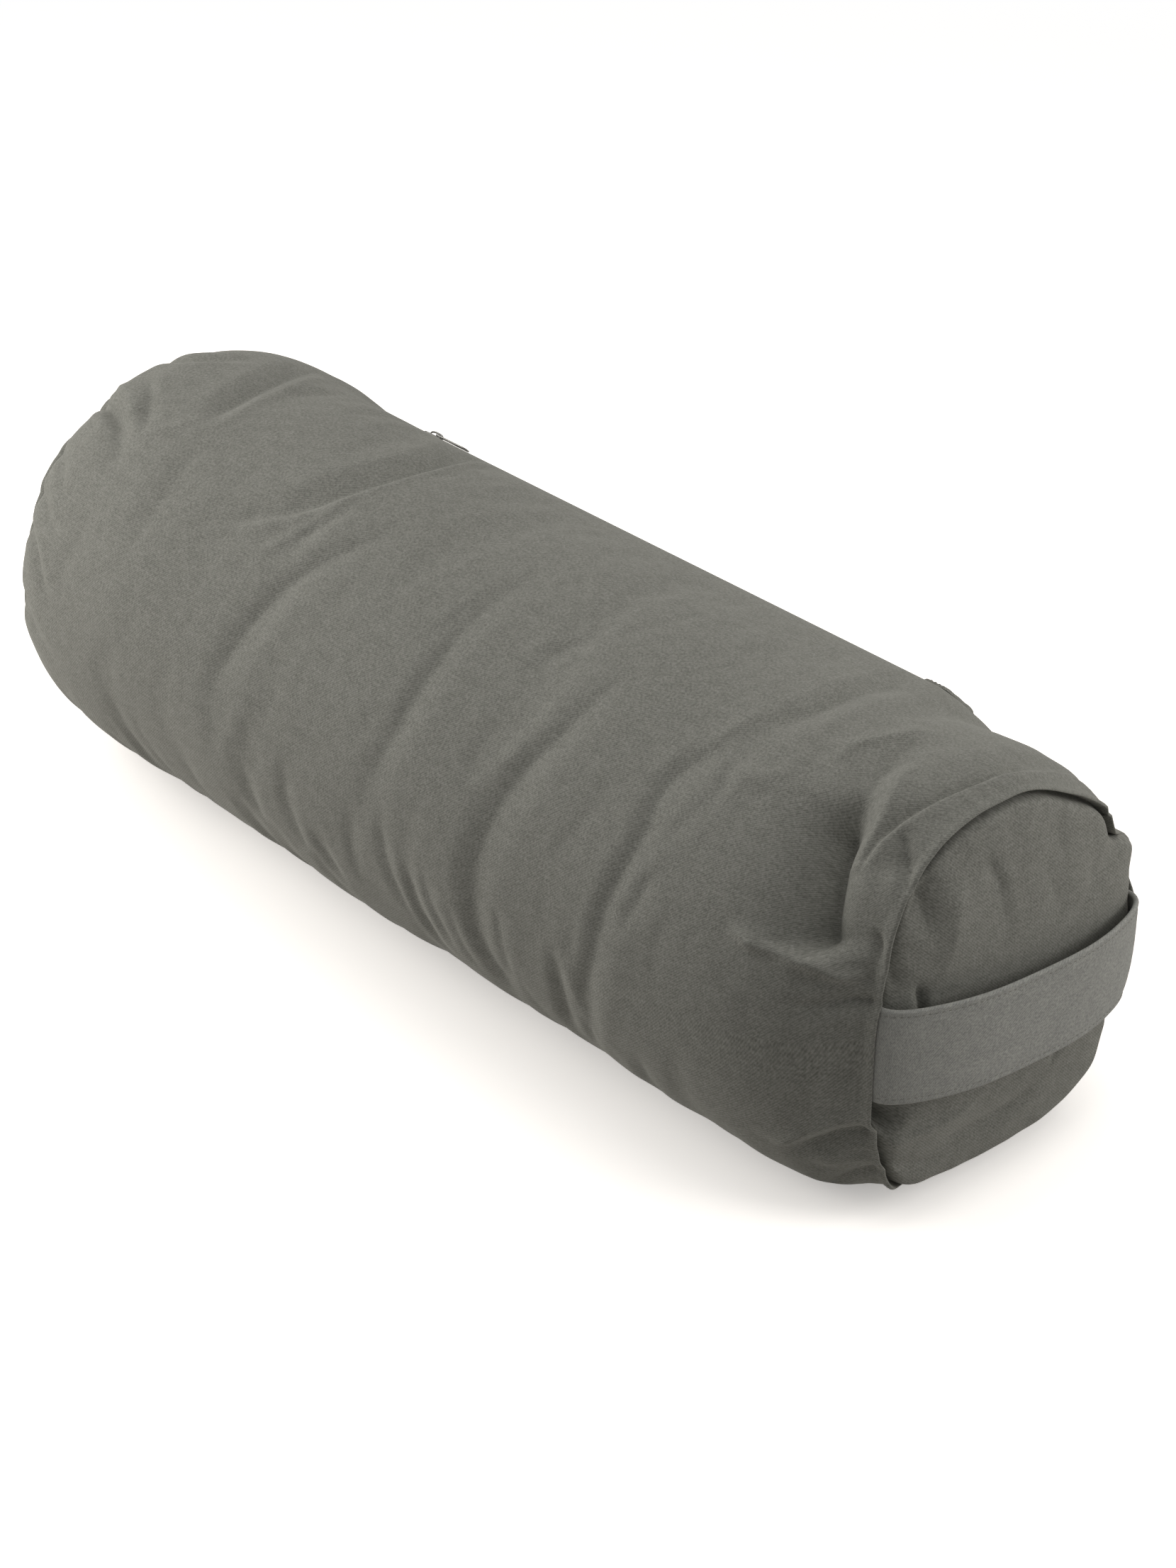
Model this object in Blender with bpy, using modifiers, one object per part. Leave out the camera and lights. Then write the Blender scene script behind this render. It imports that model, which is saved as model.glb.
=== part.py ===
"""Round yoga bolster with a carrying handle.

A twill cover (a wrapped body panel, two round end panels, a carrying handle sewn into the
seam of one end, and a zip in the long seam behind) holds an inner cushion: a thin cotton
casing stuffed with loose fibre.  The bolster lies on its side and settles flat underneath.
X runs along the bolster towards the handle, Z is up, and the origin is on the ground under
the middle of the whole object.  All sizes are in metres.
"""

import math
from dataclasses import dataclass, replace

import bmesh
import bpy
from mathutils import Vector

# The stuffed cover, lying on its side
SEAM_TO_SEAM = 0.650
BODY_WIDTH = 0.250
BODY_HEIGHT = 0.210
SETTLING = 0.0076
SHOULDER_LENGTH = 0.117
SHOULDER_POWER = 2.2
TWILL = 0.0010

# The round panel of the handle's end, as sewn
HANDLE_END_WIDTH = 0.180
HANDLE_END_HEIGHT = 0.186
HANDLE_END_LIFT = 0.014
HANDLE_END_SHIFT = 0.006
HANDLE_END_BULGE = 0.016

# The round panel of the plain end, as sewn
PLAIN_END_WIDTH = 0.184
PLAIN_END_HEIGHT = 0.176
PLAIN_END_LIFT = 0.009
PLAIN_END_SHIFT = 0.002
PLAIN_END_BULGE = 0.020

# The seam round each end: the body panel rolls over a gathered lip and turns back inside
LIP_RISE = 0.0056
LIP_LENGTH = 0.0044
SEAM_ALLOWANCE = 0.010
PUCKER_DEPTH = 0.0034
PUCKERS = 12

# The carrying handle, a flat band of folded twill
HANDLE_WIDTH = 0.050
HANDLE_THICKNESS = 0.0024
HANDLE_HEIGHT = 0.095
HANDLE_SLOPE = math.radians(-3.0)
HAND_GAP = 0.0072
HANDLE_TUCK = 0.008

# The zip in the long seam: its angle above the level, its two tapes and the coils on them
ZIP_ANGLE = math.radians(45.0)
ZIP_OPENING = 0.012
ZIP_END_SEAM = 0.008
TAPE_WIDTH = 0.013
TAPE_THICKNESS = 0.0006
COIL_WIDTH = 0.0023
COIL_HEIGHT = 0.0022
COIL_PARTING = 0.0020
STOP_LENGTH = 0.0026
STOP_OVERLAP = 0.0003
END_TAB_LENGTH = 0.016
END_TAB_WIDTH = 0.030
END_TAB_THICKNESS = 0.0018

# The slider, a folded metal body, and the pull on its bridge
SLIDER_LENGTH = 0.0120
SLIDER_PLATE = 0.0011
SLIDER_WALL = 0.0009
SLIDER_POST = 0.0012
BRIDGE_WIDTH = 0.0016
BRIDGE_THICKNESS = 0.0008
BRIDGE_CLEARANCE = 0.0018
PULL_LENGTH = 0.026
PULL_WIDTH = 0.0064
PULL_THICKNESS = 0.0008
PULL_EYE_WIDTH = 0.0030

# The inner cushion fills the cover, with rounder corners of its own
CASING = 0.0006
CASING_END_TUCK = 0.014
CASING_END_INSET = 0.006
CASING_LIP_RISE = 0.0075
CASING_LIP_LENGTH = 0.007
CASING_ALLOWANCE = 0.006

# The least gap between two pieces, and the wider one where cloth lies loosely
CLEARANCE = 0.0003
LOOSE = 0.0015

COLUMNS = 36
SHOULDER_ROWS = 3
DOME_ROWS = 4
HANDLE_ROWS = 20
HANDLE_COLUMNS = 4
CORNER_STEPS = 4
MERGE = 0.000004

CASING_INSET = TWILL + CLEARANCE
HANDLE_REACH = HANDLE_END_BULGE + HAND_GAP + HANDLE_THICKNESS
HANDLE_SEAM_X = (SEAM_TO_SEAM + PLAIN_END_BULGE - HANDLE_REACH) / 2
PLAIN_SEAM_X = HANDLE_SEAM_X - SEAM_TO_SEAM
MIDDLE_X = (HANDLE_SEAM_X + PLAIN_SEAM_X) / 2

# The middle's outline is an ellipse whose lowest part is settled flat on the ground
HALF_WIDTH = BODY_WIDTH / 2
HALF_HEIGHT = (BODY_HEIGHT + SETTLING) / 2
CENTRE_HEIGHT = BODY_HEIGHT - HALF_HEIGHT

# The zip lies along a flat strip, where the ellipse's outward direction is at ZIP_ANGLE
ZIP_OUT = Vector((0, math.cos(ZIP_ANGLE), math.sin(ZIP_ANGLE)))
ZIP_TURN = math.atan2(HALF_HEIGHT * math.sin(ZIP_ANGLE), HALF_WIDTH * math.cos(ZIP_ANGLE))
ZIP_SPEED = math.hypot(HALF_WIDTH * math.sin(ZIP_TURN), HALF_HEIGHT * math.cos(ZIP_TURN))
STRIP_REACH = COIL_PARTING / 2 + TAPE_WIDTH + LOOSE
ZIP_HALF_LENGTH = SEAM_TO_SEAM / 2 - LIP_LENGTH - SHOULDER_LENGTH - ZIP_END_SEAM

# Heights in the zip, out from the strip's face
TAPE_TOP = -TWILL - CLEARANCE
TAPE_UNDER = TAPE_TOP - TAPE_THICKNESS
COIL_UNDER = TAPE_TOP + CLEARANCE
COIL_TOP = COIL_UNDER + COIL_HEIGHT
PLATE_UNDER = TAPE_UNDER - CLEARANCE - SLIDER_PLATE
PLATE_TOP = COIL_TOP + CLEARANCE + SLIDER_PLATE
PULL_PIN = PLATE_TOP + BRIDGE_CLEARANCE / 2
BRIDGE_TOP = PLATE_TOP + BRIDGE_CLEARANCE + BRIDGE_THICKNESS

# Places along the zip, from its middle: it closes towards the plain end
CHAIN_END = ZIP_HALF_LENGTH - STOP_LENGTH - CLEARANCE
SLIDER_SHUT = -CHAIN_END + SLIDER_LENGTH / 2 + CLEARANCE
ZIP_TRAVEL = 2 * -SLIDER_SHUT


@dataclass(frozen=True)
class Finish:
    """The plain look of one material."""

    name: str
    colour: tuple[float, float, float]
    roughness: float
    metallic: float = 0.0


TWILL_GREY = Finish("twill_grey", (0.153, 0.155, 0.136), 0.95)
CASING_COTTON = Finish("casing_cotton", (0.62, 0.58, 0.49), 0.9)
LOOSE_FIBRE = Finish("loose_fibre", (0.72, 0.66, 0.52), 1.0)
TAPE_GREY = Finish("tape_grey", (0.11, 0.11, 0.10), 0.85)
COIL_NYLON = Finish("coil_nylon", (0.10, 0.10, 0.093), 0.45)
ZIP_METAL = Finish("zip_metal", (0.35, 0.35, 0.34), 0.38, 1.0)


def half_outline(turn):
    """The ellipse of the middle at this turn, before it is settled and flattened."""
    return Vector((0, HALF_WIDTH * math.cos(turn), CENTRE_HEIGHT + HALF_HEIGHT * math.sin(turn)))


STRIP_TURN = STRIP_REACH / ZIP_SPEED
STRIP_FACE = min(half_outline(ZIP_TURN + side * STRIP_TURN).dot(ZIP_OUT) for side in (-1, 1))
ZIP_LINE = half_outline(ZIP_TURN)
ZIP_LINE += ZIP_OUT * (STRIP_FACE - ZIP_LINE.dot(ZIP_OUT))


def outline(turn, hollow):
    """The middle's outline: settled on the ground, and flat along the zip, sunk by hollow."""
    point = half_outline(turn)
    beyond = point.dot(ZIP_OUT) - (STRIP_FACE - hollow)
    if beyond > 0:
        point -= ZIP_OUT * beyond
    point.z = max(point.z, 0)
    return point


def gather(turn):
    """How far the cloth stands out or in at this turn where it is gathered, from -1 to 1."""
    return 0.65 * math.cos(PUCKERS * turn) + 0.35 * math.sin((PUCKERS / 2 + 1) * turn + 1.0)


@dataclass(frozen=True)
class Ring:
    """One loop round the bolster: the middle's outline, sized and placed for its X."""

    x: float
    width: float
    height: float
    lift: float = 0.0
    shift: float = 0.0
    pucker: float = 0.0
    hollow: float = 0.0

    def inset(self, by):
        return replace(
            self, width=self.width - 2 * by, height=self.height - 2 * by, lift=self.lift + by
        )

    def moved(self, by):
        return replace(self, x=self.x + by)

    def shrunk(self, share):
        """The same loop about its own centre, at this share of its size."""
        lift = self.lift + self.height * (1 - share) / 2
        return replace(self, width=self.width * share, height=self.height * share, lift=lift)

    def towards(self, other, share):
        """A loop of a size between this one and another."""

        def mix(a, b):
            return a + (b - a) * share

        return replace(
            self,
            width=mix(self.width, other.width),
            height=mix(self.height, other.height),
            lift=mix(self.lift, other.lift),
            shift=mix(self.shift, other.shift),
        )

    def point(self, turn):
        flat = outline(turn, self.hollow)
        out = self.pucker * gather(turn)
        y = self.shift + flat.y * self.width / BODY_WIDTH + out * math.cos(turn)
        z = self.lift + flat.z * self.height / BODY_HEIGHT + out * math.sin(turn)
        return Vector((self.x, y, max(z, 0)))


@dataclass(frozen=True)
class End:
    """One end of the cover or of the casing: its sewn ring and the bulge beyond it."""

    ring: Ring
    bulge: float
    outward: int
    lip_rise: float
    lip_length: float

    def dome(self):
        """Loops from the seam to the pole of the round panel."""
        loops = []
        for step in range(1, DOME_ROWS + 1):
            turn = math.pi / 2 * step / DOME_ROWS
            loop = self.ring.shrunk(math.cos(turn))
            loops.append(loop.moved(self.outward * self.bulge * math.sin(turn)))
        return loops

    def shoulder(self, middle, puckered):
        """Loops from the lip to the middle, whose full size is reached at the last."""
        crest = self.ring.inset(-self.lip_rise)
        loops = []
        for step in range(SHOULDER_ROWS + 1):
            share = (step / SHOULDER_ROWS) ** 1.6
            fallen = (1 - share) ** SHOULDER_POWER
            start = self.lip_length + share * self.shoulder_length()
            loop = middle.towards(crest, fallen)
            loops.append(
                replace(
                    loop,
                    x=self.ring.x - self.outward * start,
                    pucker=puckered * (1 - share) ** 3,
                )
            )
        return loops

    def shoulder_length(self):
        """Every layer reaches its full size where the cover does, just past the zip."""
        full = ZIP_HALF_LENGTH + ZIP_END_SEAM
        return abs(self.ring.x - MIDDLE_X) - self.lip_length - full


def cover_end(outward):
    if outward > 0:
        ring = Ring(
            HANDLE_SEAM_X, HANDLE_END_WIDTH, HANDLE_END_HEIGHT, HANDLE_END_LIFT, HANDLE_END_SHIFT
        )
        return End(ring, HANDLE_END_BULGE, outward, LIP_RISE, LIP_LENGTH)
    ring = Ring(PLAIN_SEAM_X, PLAIN_END_WIDTH, PLAIN_END_HEIGHT, PLAIN_END_LIFT, PLAIN_END_SHIFT)
    return End(ring, PLAIN_END_BULGE, outward, LIP_RISE, LIP_LENGTH)


def inner_end(outward, deeper, tuck):
    """The inner cushion's end: inside the cover's seam allowance, and in by deeper and tuck."""
    cover = cover_end(outward)
    ring = cover.ring.inset(CASING_END_INSET + deeper).moved(-outward * (CASING_END_TUCK + tuck))
    bulge = cover.bulge + CASING_END_TUCK + tuck - TWILL - LOOSE - deeper
    return End(ring, bulge, outward, CASING_LIP_RISE, CASING_LIP_LENGTH)


def inner_middle(deeper):
    """The inner cushion's middle, hollowed along the strip so that the slider clears it."""
    ring = Ring(MIDDLE_X, BODY_WIDTH, BODY_HEIGHT).inset(CASING_INSET + deeper)
    return replace(ring, hollow=2 * CLEARANCE - PLATE_UNDER - CASING_INSET)


def columns(opening):
    """Turns round the bolster from one edge of the long seam to the other."""
    edge = opening / 2 / ZIP_SPEED
    first = ZIP_TURN + STRIP_TURN
    span = 2 * math.pi - 2 * STRIP_TURN
    between = [first + span * step / (COLUMNS - 2) for step in range(COLUMNS - 1)]
    return [ZIP_TURN + edge, *between, ZIP_TURN + 2 * math.pi - edge]


def loop_points(ring, opening=0.0):
    return [ring.point(turn) for turn in columns(opening)]


def material(finish):
    made = bpy.data.materials.get(finish.name)
    if made:
        return made
    made = bpy.data.materials.new(finish.name)
    made.use_nodes = True
    shader = made.node_tree.nodes["Principled BSDF"]
    shader.inputs["Base Color"].default_value = (*finish.colour, 1)
    shader.inputs["Roughness"].default_value = finish.roughness
    shader.inputs["Metallic"].default_value = finish.metallic
    made.diffuse_color = (*finish.colour, 1)
    return made


def add_object(name, shape, finish, collection, parent=None):
    """Puts a finished bmesh into the scene as one named object."""
    mesh = bpy.data.meshes.new(name)
    shape.to_mesh(mesh)
    shape.free()
    mesh.materials.append(material(finish))
    mesh.shade_smooth()
    mesh.set_sharp_from_angle(angle=math.radians(35))
    made = bpy.data.objects.new(name, mesh)
    made.parent = parent
    collection.objects.link(made)
    return made


def sheet(name, rows, finish, collection, thickness, offset=-1.0):
    """Cloth laid through rows of points.

    With rows running towards +X and each running round from +Y up, the cloth's face is
    outside, and its thickness goes inwards.
    """
    shape = bmesh.new()
    across = len(rows[0]) - 1
    along = len(rows) - 1
    bmesh.ops.create_grid(shape, x_segments=across, y_segments=along, size=0.5)
    for vert in shape.verts:
        column = round((vert.co.x + 0.5) * across)
        row = round((vert.co.y + 0.5) * along)
        vert.co = rows[row][column]
    bmesh.ops.remove_doubles(shape, verts=shape.verts, dist=MERGE)
    made = add_object(name, shape, finish, collection)
    if thickness:
        solidify = made.modifiers.new("cloth_thickness", "SOLIDIFY")
        solidify.thickness = thickness
        solidify.offset = offset
    return made


def end_panel(name, end, allowance, finish, collection, thickness, relief=None):
    """A round panel: a domed disc whose edge turns back inside as its seam allowance."""
    edge = end.ring.inset(CLEARANCE)
    tucked = edge.moved(-end.outward * allowance)
    loops = [tucked, edge, *replace(end, ring=edge).dome()]
    if end.outward < 0:
        loops.reverse()
    rows = [loop_points(loop) for loop in loops]
    if relief:
        rows[:3] = [[relief(point) for point in row] for row in rows[:3]]
    return sheet(name, rows, finish, collection, thickness)


def wrapped_panel(name, ends, middle, allowance, finish, collection, thickness, pucker):
    """The panel wrapped round the body, with its edges met at the long seam or at the zip."""
    plain, handle = ends
    loops = []
    if allowance:
        loops.append(plain.ring.moved(allowance))
    loops.append(plain.ring)
    loops += plain.shoulder(middle, pucker)
    loops += [replace(middle, x=MIDDLE_X - ZIP_HALF_LENGTH)]
    loops += [replace(middle, x=MIDDLE_X + ZIP_HALF_LENGTH * side / 3) for side in (-1, 1)]
    loops += [replace(middle, x=MIDDLE_X + ZIP_HALF_LENGTH)]
    loops += reversed(handle.shoulder(middle, pucker))
    loops.append(handle.ring)
    if allowance:
        loops.append(handle.ring.moved(-allowance))
    rows = []
    for loop in loops:
        in_zip = pucker and abs(loop.x - MIDDLE_X) <= ZIP_HALF_LENGTH
        rows.append(loop_points(loop, ZIP_OPENING if in_zip else CLEARANCE))
    return sheet(name, rows, finish, collection, thickness)


def handle_relief(point):
    """Room for the handle's tucked end, between the panel's edge and the body's allowance."""
    ring = cover_end(1).ring
    spacing = math.pi * max(ring.width, ring.height) / COLUMNS
    level = HANDLE_HEIGHT + (point.y - ring.shift) * math.tan(HANDLE_SLOPE)
    side = math.copysign(1, point.y - ring.shift)
    beside = abs(point.z - level) < HANDLE_WIDTH / 2 + spacing
    if not beside or abs(point.y - ring.shift) < ring.width / 4:
        return point
    room = HANDLE_THICKNESS + 4 * CLEARANCE
    return point - Vector((0, side * room, 0))


def side_of(ring, height, side):
    """Where the facets of a loop reach at this height, on the +Y or the -Y side."""
    points = loop_points(ring)
    found = []
    for a, b in zip(points, points[1:]):
        if min(a.z, b.z) <= height <= max(a.z, b.z) and a.z != b.z:
            found.append(a.y + (b.y - a.y) * (height - a.z) / (b.z - a.z))
    return max(found) if side > 0 else min(found)


def carry_handle(collection):
    """The band: tucked into the seam on each side, and bowed out over the round panel."""
    ring = cover_end(1).ring
    inset = 2 * CLEARANCE + HANDLE_THICKNESS / 2
    bow = HANDLE_END_BULGE + HAND_GAP + HANDLE_THICKNESS / 2
    rows = []
    for row in range(-1, HANDLE_ROWS + 2):
        turn = math.pi * min(max(row / HANDLE_ROWS, 0), 1)
        points = []
        for column in range(HANDLE_COLUMNS + 1):
            across = HANDLE_WIDTH * (column / HANDLE_COLUMNS - 0.5)
            level = HANDLE_HEIGHT + across
            sides = []
            for side in (-1, 1):
                height = level + side * ring.width / 2 * math.tan(HANDLE_SLOPE)
                sides.append(side_of(ring, height, side) - side * inset)
            middle = (sides[0] + sides[1]) / 2
            y = middle + (sides[1] - middle) * math.cos(turn)
            z = level + (y - middle) * math.tan(HANDLE_SLOPE)
            x = ring.x + bow * math.sin(turn)
            if not 0 <= row <= HANDLE_ROWS:
                x -= HANDLE_TUCK
            points.append(Vector((x, y, z)))
        rows.append(points)
    sheet("carry_handle", rows, TWILL_GREY, collection, HANDLE_THICKNESS, 0.0)


def casing_and_stuffing(collection):
    """The cotton casing, a wrapped panel and two round ones, and the fibre that fills it."""
    ends = [inner_end(outward, 0, 0) for outward in (-1, 1)]
    middle = inner_middle(0)
    wrapped_panel("casing_body_panel", ends, middle, 0, CASING_COTTON, collection, CASING, 0)
    for end, place in zip(ends, ("plain", "handle")):
        inside = replace(end, ring=end.ring.inset(CASING))
        name = f"casing_{place}_end_panel"
        end_panel(name, inside, CASING_ALLOWANCE, CASING_COTTON, collection, CASING)
    deeper = 2 * CASING + 2 * CLEARANCE
    middle = inner_middle(deeper)
    tuck = CASING_ALLOWANCE + CLEARANCE
    plain, handle = [inner_end(outward, deeper, tuck) for outward in (-1, 1)]
    loops = [*reversed(plain.dome()), plain.ring, *plain.shoulder(middle, 0)]
    loops += [*reversed(handle.shoulder(middle, 0)), handle.ring, *handle.dome()]
    rows = [loop_points(loop) for loop in loops]
    sheet("stuffing", rows, LOOSE_FIBRE, collection, 0)


def block(name, size, centre, finish, collection, parent, rounding):
    """A box with rounded edges, in the zip's own directions."""
    shape = bmesh.new()
    bmesh.ops.create_cube(shape, size=1)
    bmesh.ops.scale(shape, vec=size, verts=shape.verts)
    bmesh.ops.bevel(shape, geom=shape.edges, offset=rounding, segments=1, affect="EDGES")
    bmesh.ops.translate(shape, vec=centre, verts=shape.verts)
    return add_object(name, shape, finish, collection, parent)


def plate(name, outlines, thickness, finish, collection, parent):
    """A flat piece in its own XY plane, from an outer outline and any holes in it."""
    curve = bpy.data.curves.new(name, "CURVE")
    curve.dimensions = "2D"
    curve.fill_mode = "BOTH"
    curve.extrude = thickness / 2
    for points in outlines:
        spline = curve.splines.new("POLY")
        spline.points.add(len(points) - 1)
        for spot, (x, y) in zip(spline.points, points):
            spot.co = (x, y, 0, 1)
        spline.use_cyclic_u = True
    drawn = bpy.data.objects.new(name, curve)
    collection.objects.link(drawn)
    bpy.context.view_layer.update()
    graph = bpy.context.evaluated_depsgraph_get()
    mesh = bpy.data.meshes.new_from_object(drawn.evaluated_get(graph))
    bpy.data.objects.remove(drawn)
    bpy.data.curves.remove(curve)
    shape = bmesh.new()
    shape.from_mesh(mesh)
    bpy.data.meshes.remove(mesh)
    bmesh.ops.remove_doubles(shape, verts=shape.verts, dist=MERGE)
    return add_object(name, shape, finish, collection, parent)


def rounded(left, right, half, radius):
    """A rounded rectangle from left to right, as points run anticlockwise."""
    points = []
    corners = ((right, half, 0), (left, half, 1), (left, -half, 2), (right, -half, 3))
    for x, y, quarter in corners:
        centre_x = x - math.copysign(radius, x - (left + right) / 2)
        centre_y = y - math.copysign(radius, y)
        for step in range(CORNER_STEPS + 1):
            turn = math.pi / 2 * (quarter + step / CORNER_STEPS)
            points.append((centre_x + radius * math.cos(turn), centre_y + radius * math.sin(turn)))
    return points


def slider_section():
    """The slider seen from its end: a post joins two plates, and side walls hold the coils."""
    post = SLIDER_POST / 2
    inner = COIL_PARTING / 2 + COIL_WIDTH + CLEARANCE
    outer = inner + SLIDER_WALL
    upper = PLATE_TOP - SLIDER_PLATE
    lower = PLATE_UNDER + SLIDER_PLATE
    wall_end = TAPE_TOP + CLEARANCE
    right = [(post, lower), (outer, lower), (outer, PLATE_UNDER)]
    left = [(-y, z) for y, z in reversed(right)]
    top_left = [(-post, upper), (-inner, upper), (-inner, wall_end), (-outer, wall_end)]
    top_left += [(-outer, PLATE_TOP)]
    top_right = [(-y, z) for y, z in reversed(top_left)]
    return [*left, *top_left, *top_right, *right]


def zip_slider(line, collection, helpers):
    """The slider's body, with the bridge that holds the pull joined on."""
    slider = plate(
        "zip_slider", [slider_section()], SLIDER_LENGTH, ZIP_METAL, collection, line
    )
    quarter = math.pi / 2
    slider.location = (SLIDER_SHUT, 0, 0)
    slider.rotation_euler = (quarter, 0, quarter)
    half = SLIDER_LENGTH / 2 - SLIDER_WALL
    foot = PLATE_TOP - SLIDER_PLATE / 2
    under = PLATE_TOP + BRIDGE_CLEARANCE
    inner = half - BRIDGE_THICKNESS
    arch = [(-half, foot), (-inner, foot), (-inner, under), (inner, under), (inner, foot)]
    arch += [(half, foot), (half, BRIDGE_TOP), (-half, BRIDGE_TOP)]
    bridge = plate("zip_slider_bridge", [arch], BRIDGE_WIDTH, ZIP_METAL, helpers, line)
    bridge.location = (SLIDER_SHUT, 0, 0)
    bridge.rotation_euler = (quarter, 0, 0)
    bridge.hide_render = True
    bridge.display_type = "WIRE"
    join = slider.modifiers.new("bridge", "BOOLEAN")
    join.operation = "UNION"
    join.object = bridge
    return slider


def zip_pull(line, collection):
    """A flat tag whose eye goes round the bridge; its origin is on the pin under the bridge."""
    pin = PULL_THICKNESS / 2
    eye_end = SLIDER_LENGTH / 2 + CLEARANCE
    eye = [(pin, PULL_EYE_WIDTH / 2), (pin, -PULL_EYE_WIDTH / 2)]
    eye += [(eye_end, -PULL_EYE_WIDTH / 2), (eye_end, PULL_EYE_WIDTH / 2)]
    tag = rounded(-pin, PULL_LENGTH, PULL_WIDTH / 2, pin)
    pull = plate("zip_pull", [tag, eye], PULL_THICKNESS, ZIP_METAL, collection, line)
    pull.location = (SLIDER_SHUT, 0, PULL_PIN)
    return pull


def zip_chain(line, collection):
    """Two tapes with their coils, closed by stops, and the cloth tab over the open end."""
    coil_length = 2 * CHAIN_END
    tape_length = 2 * (ZIP_HALF_LENGTH + ZIP_END_SEAM)
    stop_reach = COIL_WIDTH + STOP_OVERLAP
    stop_middle = COIL_UNDER + COIL_HEIGHT / 2
    stop_x = ZIP_HALF_LENGTH - STOP_LENGTH / 2
    for side, place in ((-1, "upper"), (1, "lower")):
        tape_y = side * (COIL_PARTING + TAPE_WIDTH) / 2
        coil_y = side * (COIL_PARTING + COIL_WIDTH) / 2
        stop_y = side * (COIL_PARTING + stop_reach) / 2
        size = (tape_length, TAPE_WIDTH, TAPE_THICKNESS)
        middle = (0, tape_y, (TAPE_TOP + TAPE_UNDER) / 2)
        block(f"zip_{place}_tape", size, middle, TAPE_GREY, collection, line, TAPE_THICKNESS / 6)
        size = (coil_length, COIL_WIDTH, COIL_HEIGHT)
        middle = (0, coil_y, stop_middle)
        block(f"zip_{place}_coil", size, middle, COIL_NYLON, collection, line, COIL_HEIGHT / 4)
        size = (STOP_LENGTH, stop_reach, COIL_HEIGHT)
        middle = (-stop_x, stop_y, stop_middle)
        name = f"zip_{place}_top_stop"
        block(name, size, middle, ZIP_METAL, collection, line, COIL_HEIGHT / 5)
    size = (STOP_LENGTH, COIL_PARTING + 2 * stop_reach, COIL_HEIGHT)
    middle = (stop_x, 0, stop_middle)
    block("zip_bottom_stop", size, middle, ZIP_METAL, collection, line, COIL_HEIGHT / 5)
    size = (END_TAB_LENGTH, END_TAB_WIDTH, END_TAB_THICKNESS)
    tab_x = ZIP_HALF_LENGTH + CLEARANCE + END_TAB_LENGTH / 2
    middle = (tab_x, 0, CLEARANCE + END_TAB_THICKNESS / 2)
    rounding = END_TAB_THICKNESS / 4
    block("zip_end_tab", size, middle, TWILL_GREY, collection, line, rounding)


def cover(collection, helpers):
    """The twill cover: three panels, the handle, and the zip on its own tilted line."""
    ends = [cover_end(outward) for outward in (-1, 1)]
    middle = Ring(MIDDLE_X, BODY_WIDTH, BODY_HEIGHT)
    wrapped_panel(
        "cover_body_panel",
        ends,
        middle,
        SEAM_ALLOWANCE,
        TWILL_GREY,
        collection,
        TWILL,
        PUCKER_DEPTH,
    )
    end_panel(
        "cover_plain_end_panel", ends[0], SEAM_ALLOWANCE, TWILL_GREY, collection, TWILL
    )
    end_panel(
        "cover_handle_end_panel",
        ends[1],
        SEAM_ALLOWANCE,
        TWILL_GREY,
        collection,
        TWILL,
        handle_relief,
    )
    carry_handle(collection)
    line = bpy.data.objects.new("zip_line", None)
    line.location = Vector((MIDDLE_X, 0, 0)) + ZIP_LINE
    line.rotation_euler = (ZIP_ANGLE - math.pi / 2, 0, 0)
    collection.objects.link(line)
    zip_chain(line, collection)
    zip_slider(line, collection, helpers)
    zip_pull(line, collection)


def main():
    for leftover in list(bpy.data.objects):
        bpy.data.objects.remove(leftover)
    bolster = bpy.data.collections.new("yoga_bolster")
    helpers = bpy.data.collections.new("joined_shapes")
    for made in (bolster, helpers):
        bpy.context.scene.collection.children.link(made)
    cover(bolster, helpers)
    casing_and_stuffing(bolster)


main()
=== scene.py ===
"""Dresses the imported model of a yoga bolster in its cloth, thread and metal.

A removable cover of grey cotton twill is drawn over a stuffed cotton cushion. A flat carry
handle crosses one round end, and a coil zip closes the cover along its back. All lengths are
metres with +Z up, the handle's end is towards +X, and turns round the girth are degrees from
+Y (the back) over the top (90) to the front (180) and the floor (270).
"""

import logging
import math
from collections.abc import Sequence
from dataclasses import dataclass
from enum import Enum

import bmesh
import bpy
import numpy as np
from bmesh.types import BMesh, BMVert
from bpy.types import Material, Node, NodeSocket, NodeTree, Object
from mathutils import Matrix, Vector


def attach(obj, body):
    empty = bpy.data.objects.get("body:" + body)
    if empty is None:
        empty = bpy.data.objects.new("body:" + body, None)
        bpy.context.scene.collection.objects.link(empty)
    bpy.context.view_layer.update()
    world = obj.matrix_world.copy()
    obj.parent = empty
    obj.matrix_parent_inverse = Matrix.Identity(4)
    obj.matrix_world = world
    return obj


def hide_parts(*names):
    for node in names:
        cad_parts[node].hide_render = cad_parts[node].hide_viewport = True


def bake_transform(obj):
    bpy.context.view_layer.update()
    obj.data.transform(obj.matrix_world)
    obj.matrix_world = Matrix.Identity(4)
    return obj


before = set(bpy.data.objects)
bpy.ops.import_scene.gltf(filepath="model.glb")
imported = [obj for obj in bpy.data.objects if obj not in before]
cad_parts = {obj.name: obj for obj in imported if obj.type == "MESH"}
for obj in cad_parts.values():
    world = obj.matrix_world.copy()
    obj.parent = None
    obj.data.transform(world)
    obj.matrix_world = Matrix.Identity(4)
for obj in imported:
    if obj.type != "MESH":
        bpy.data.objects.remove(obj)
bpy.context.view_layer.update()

Array = np.ndarray

LOG = logging.getLogger("yoga_bolster")

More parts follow.
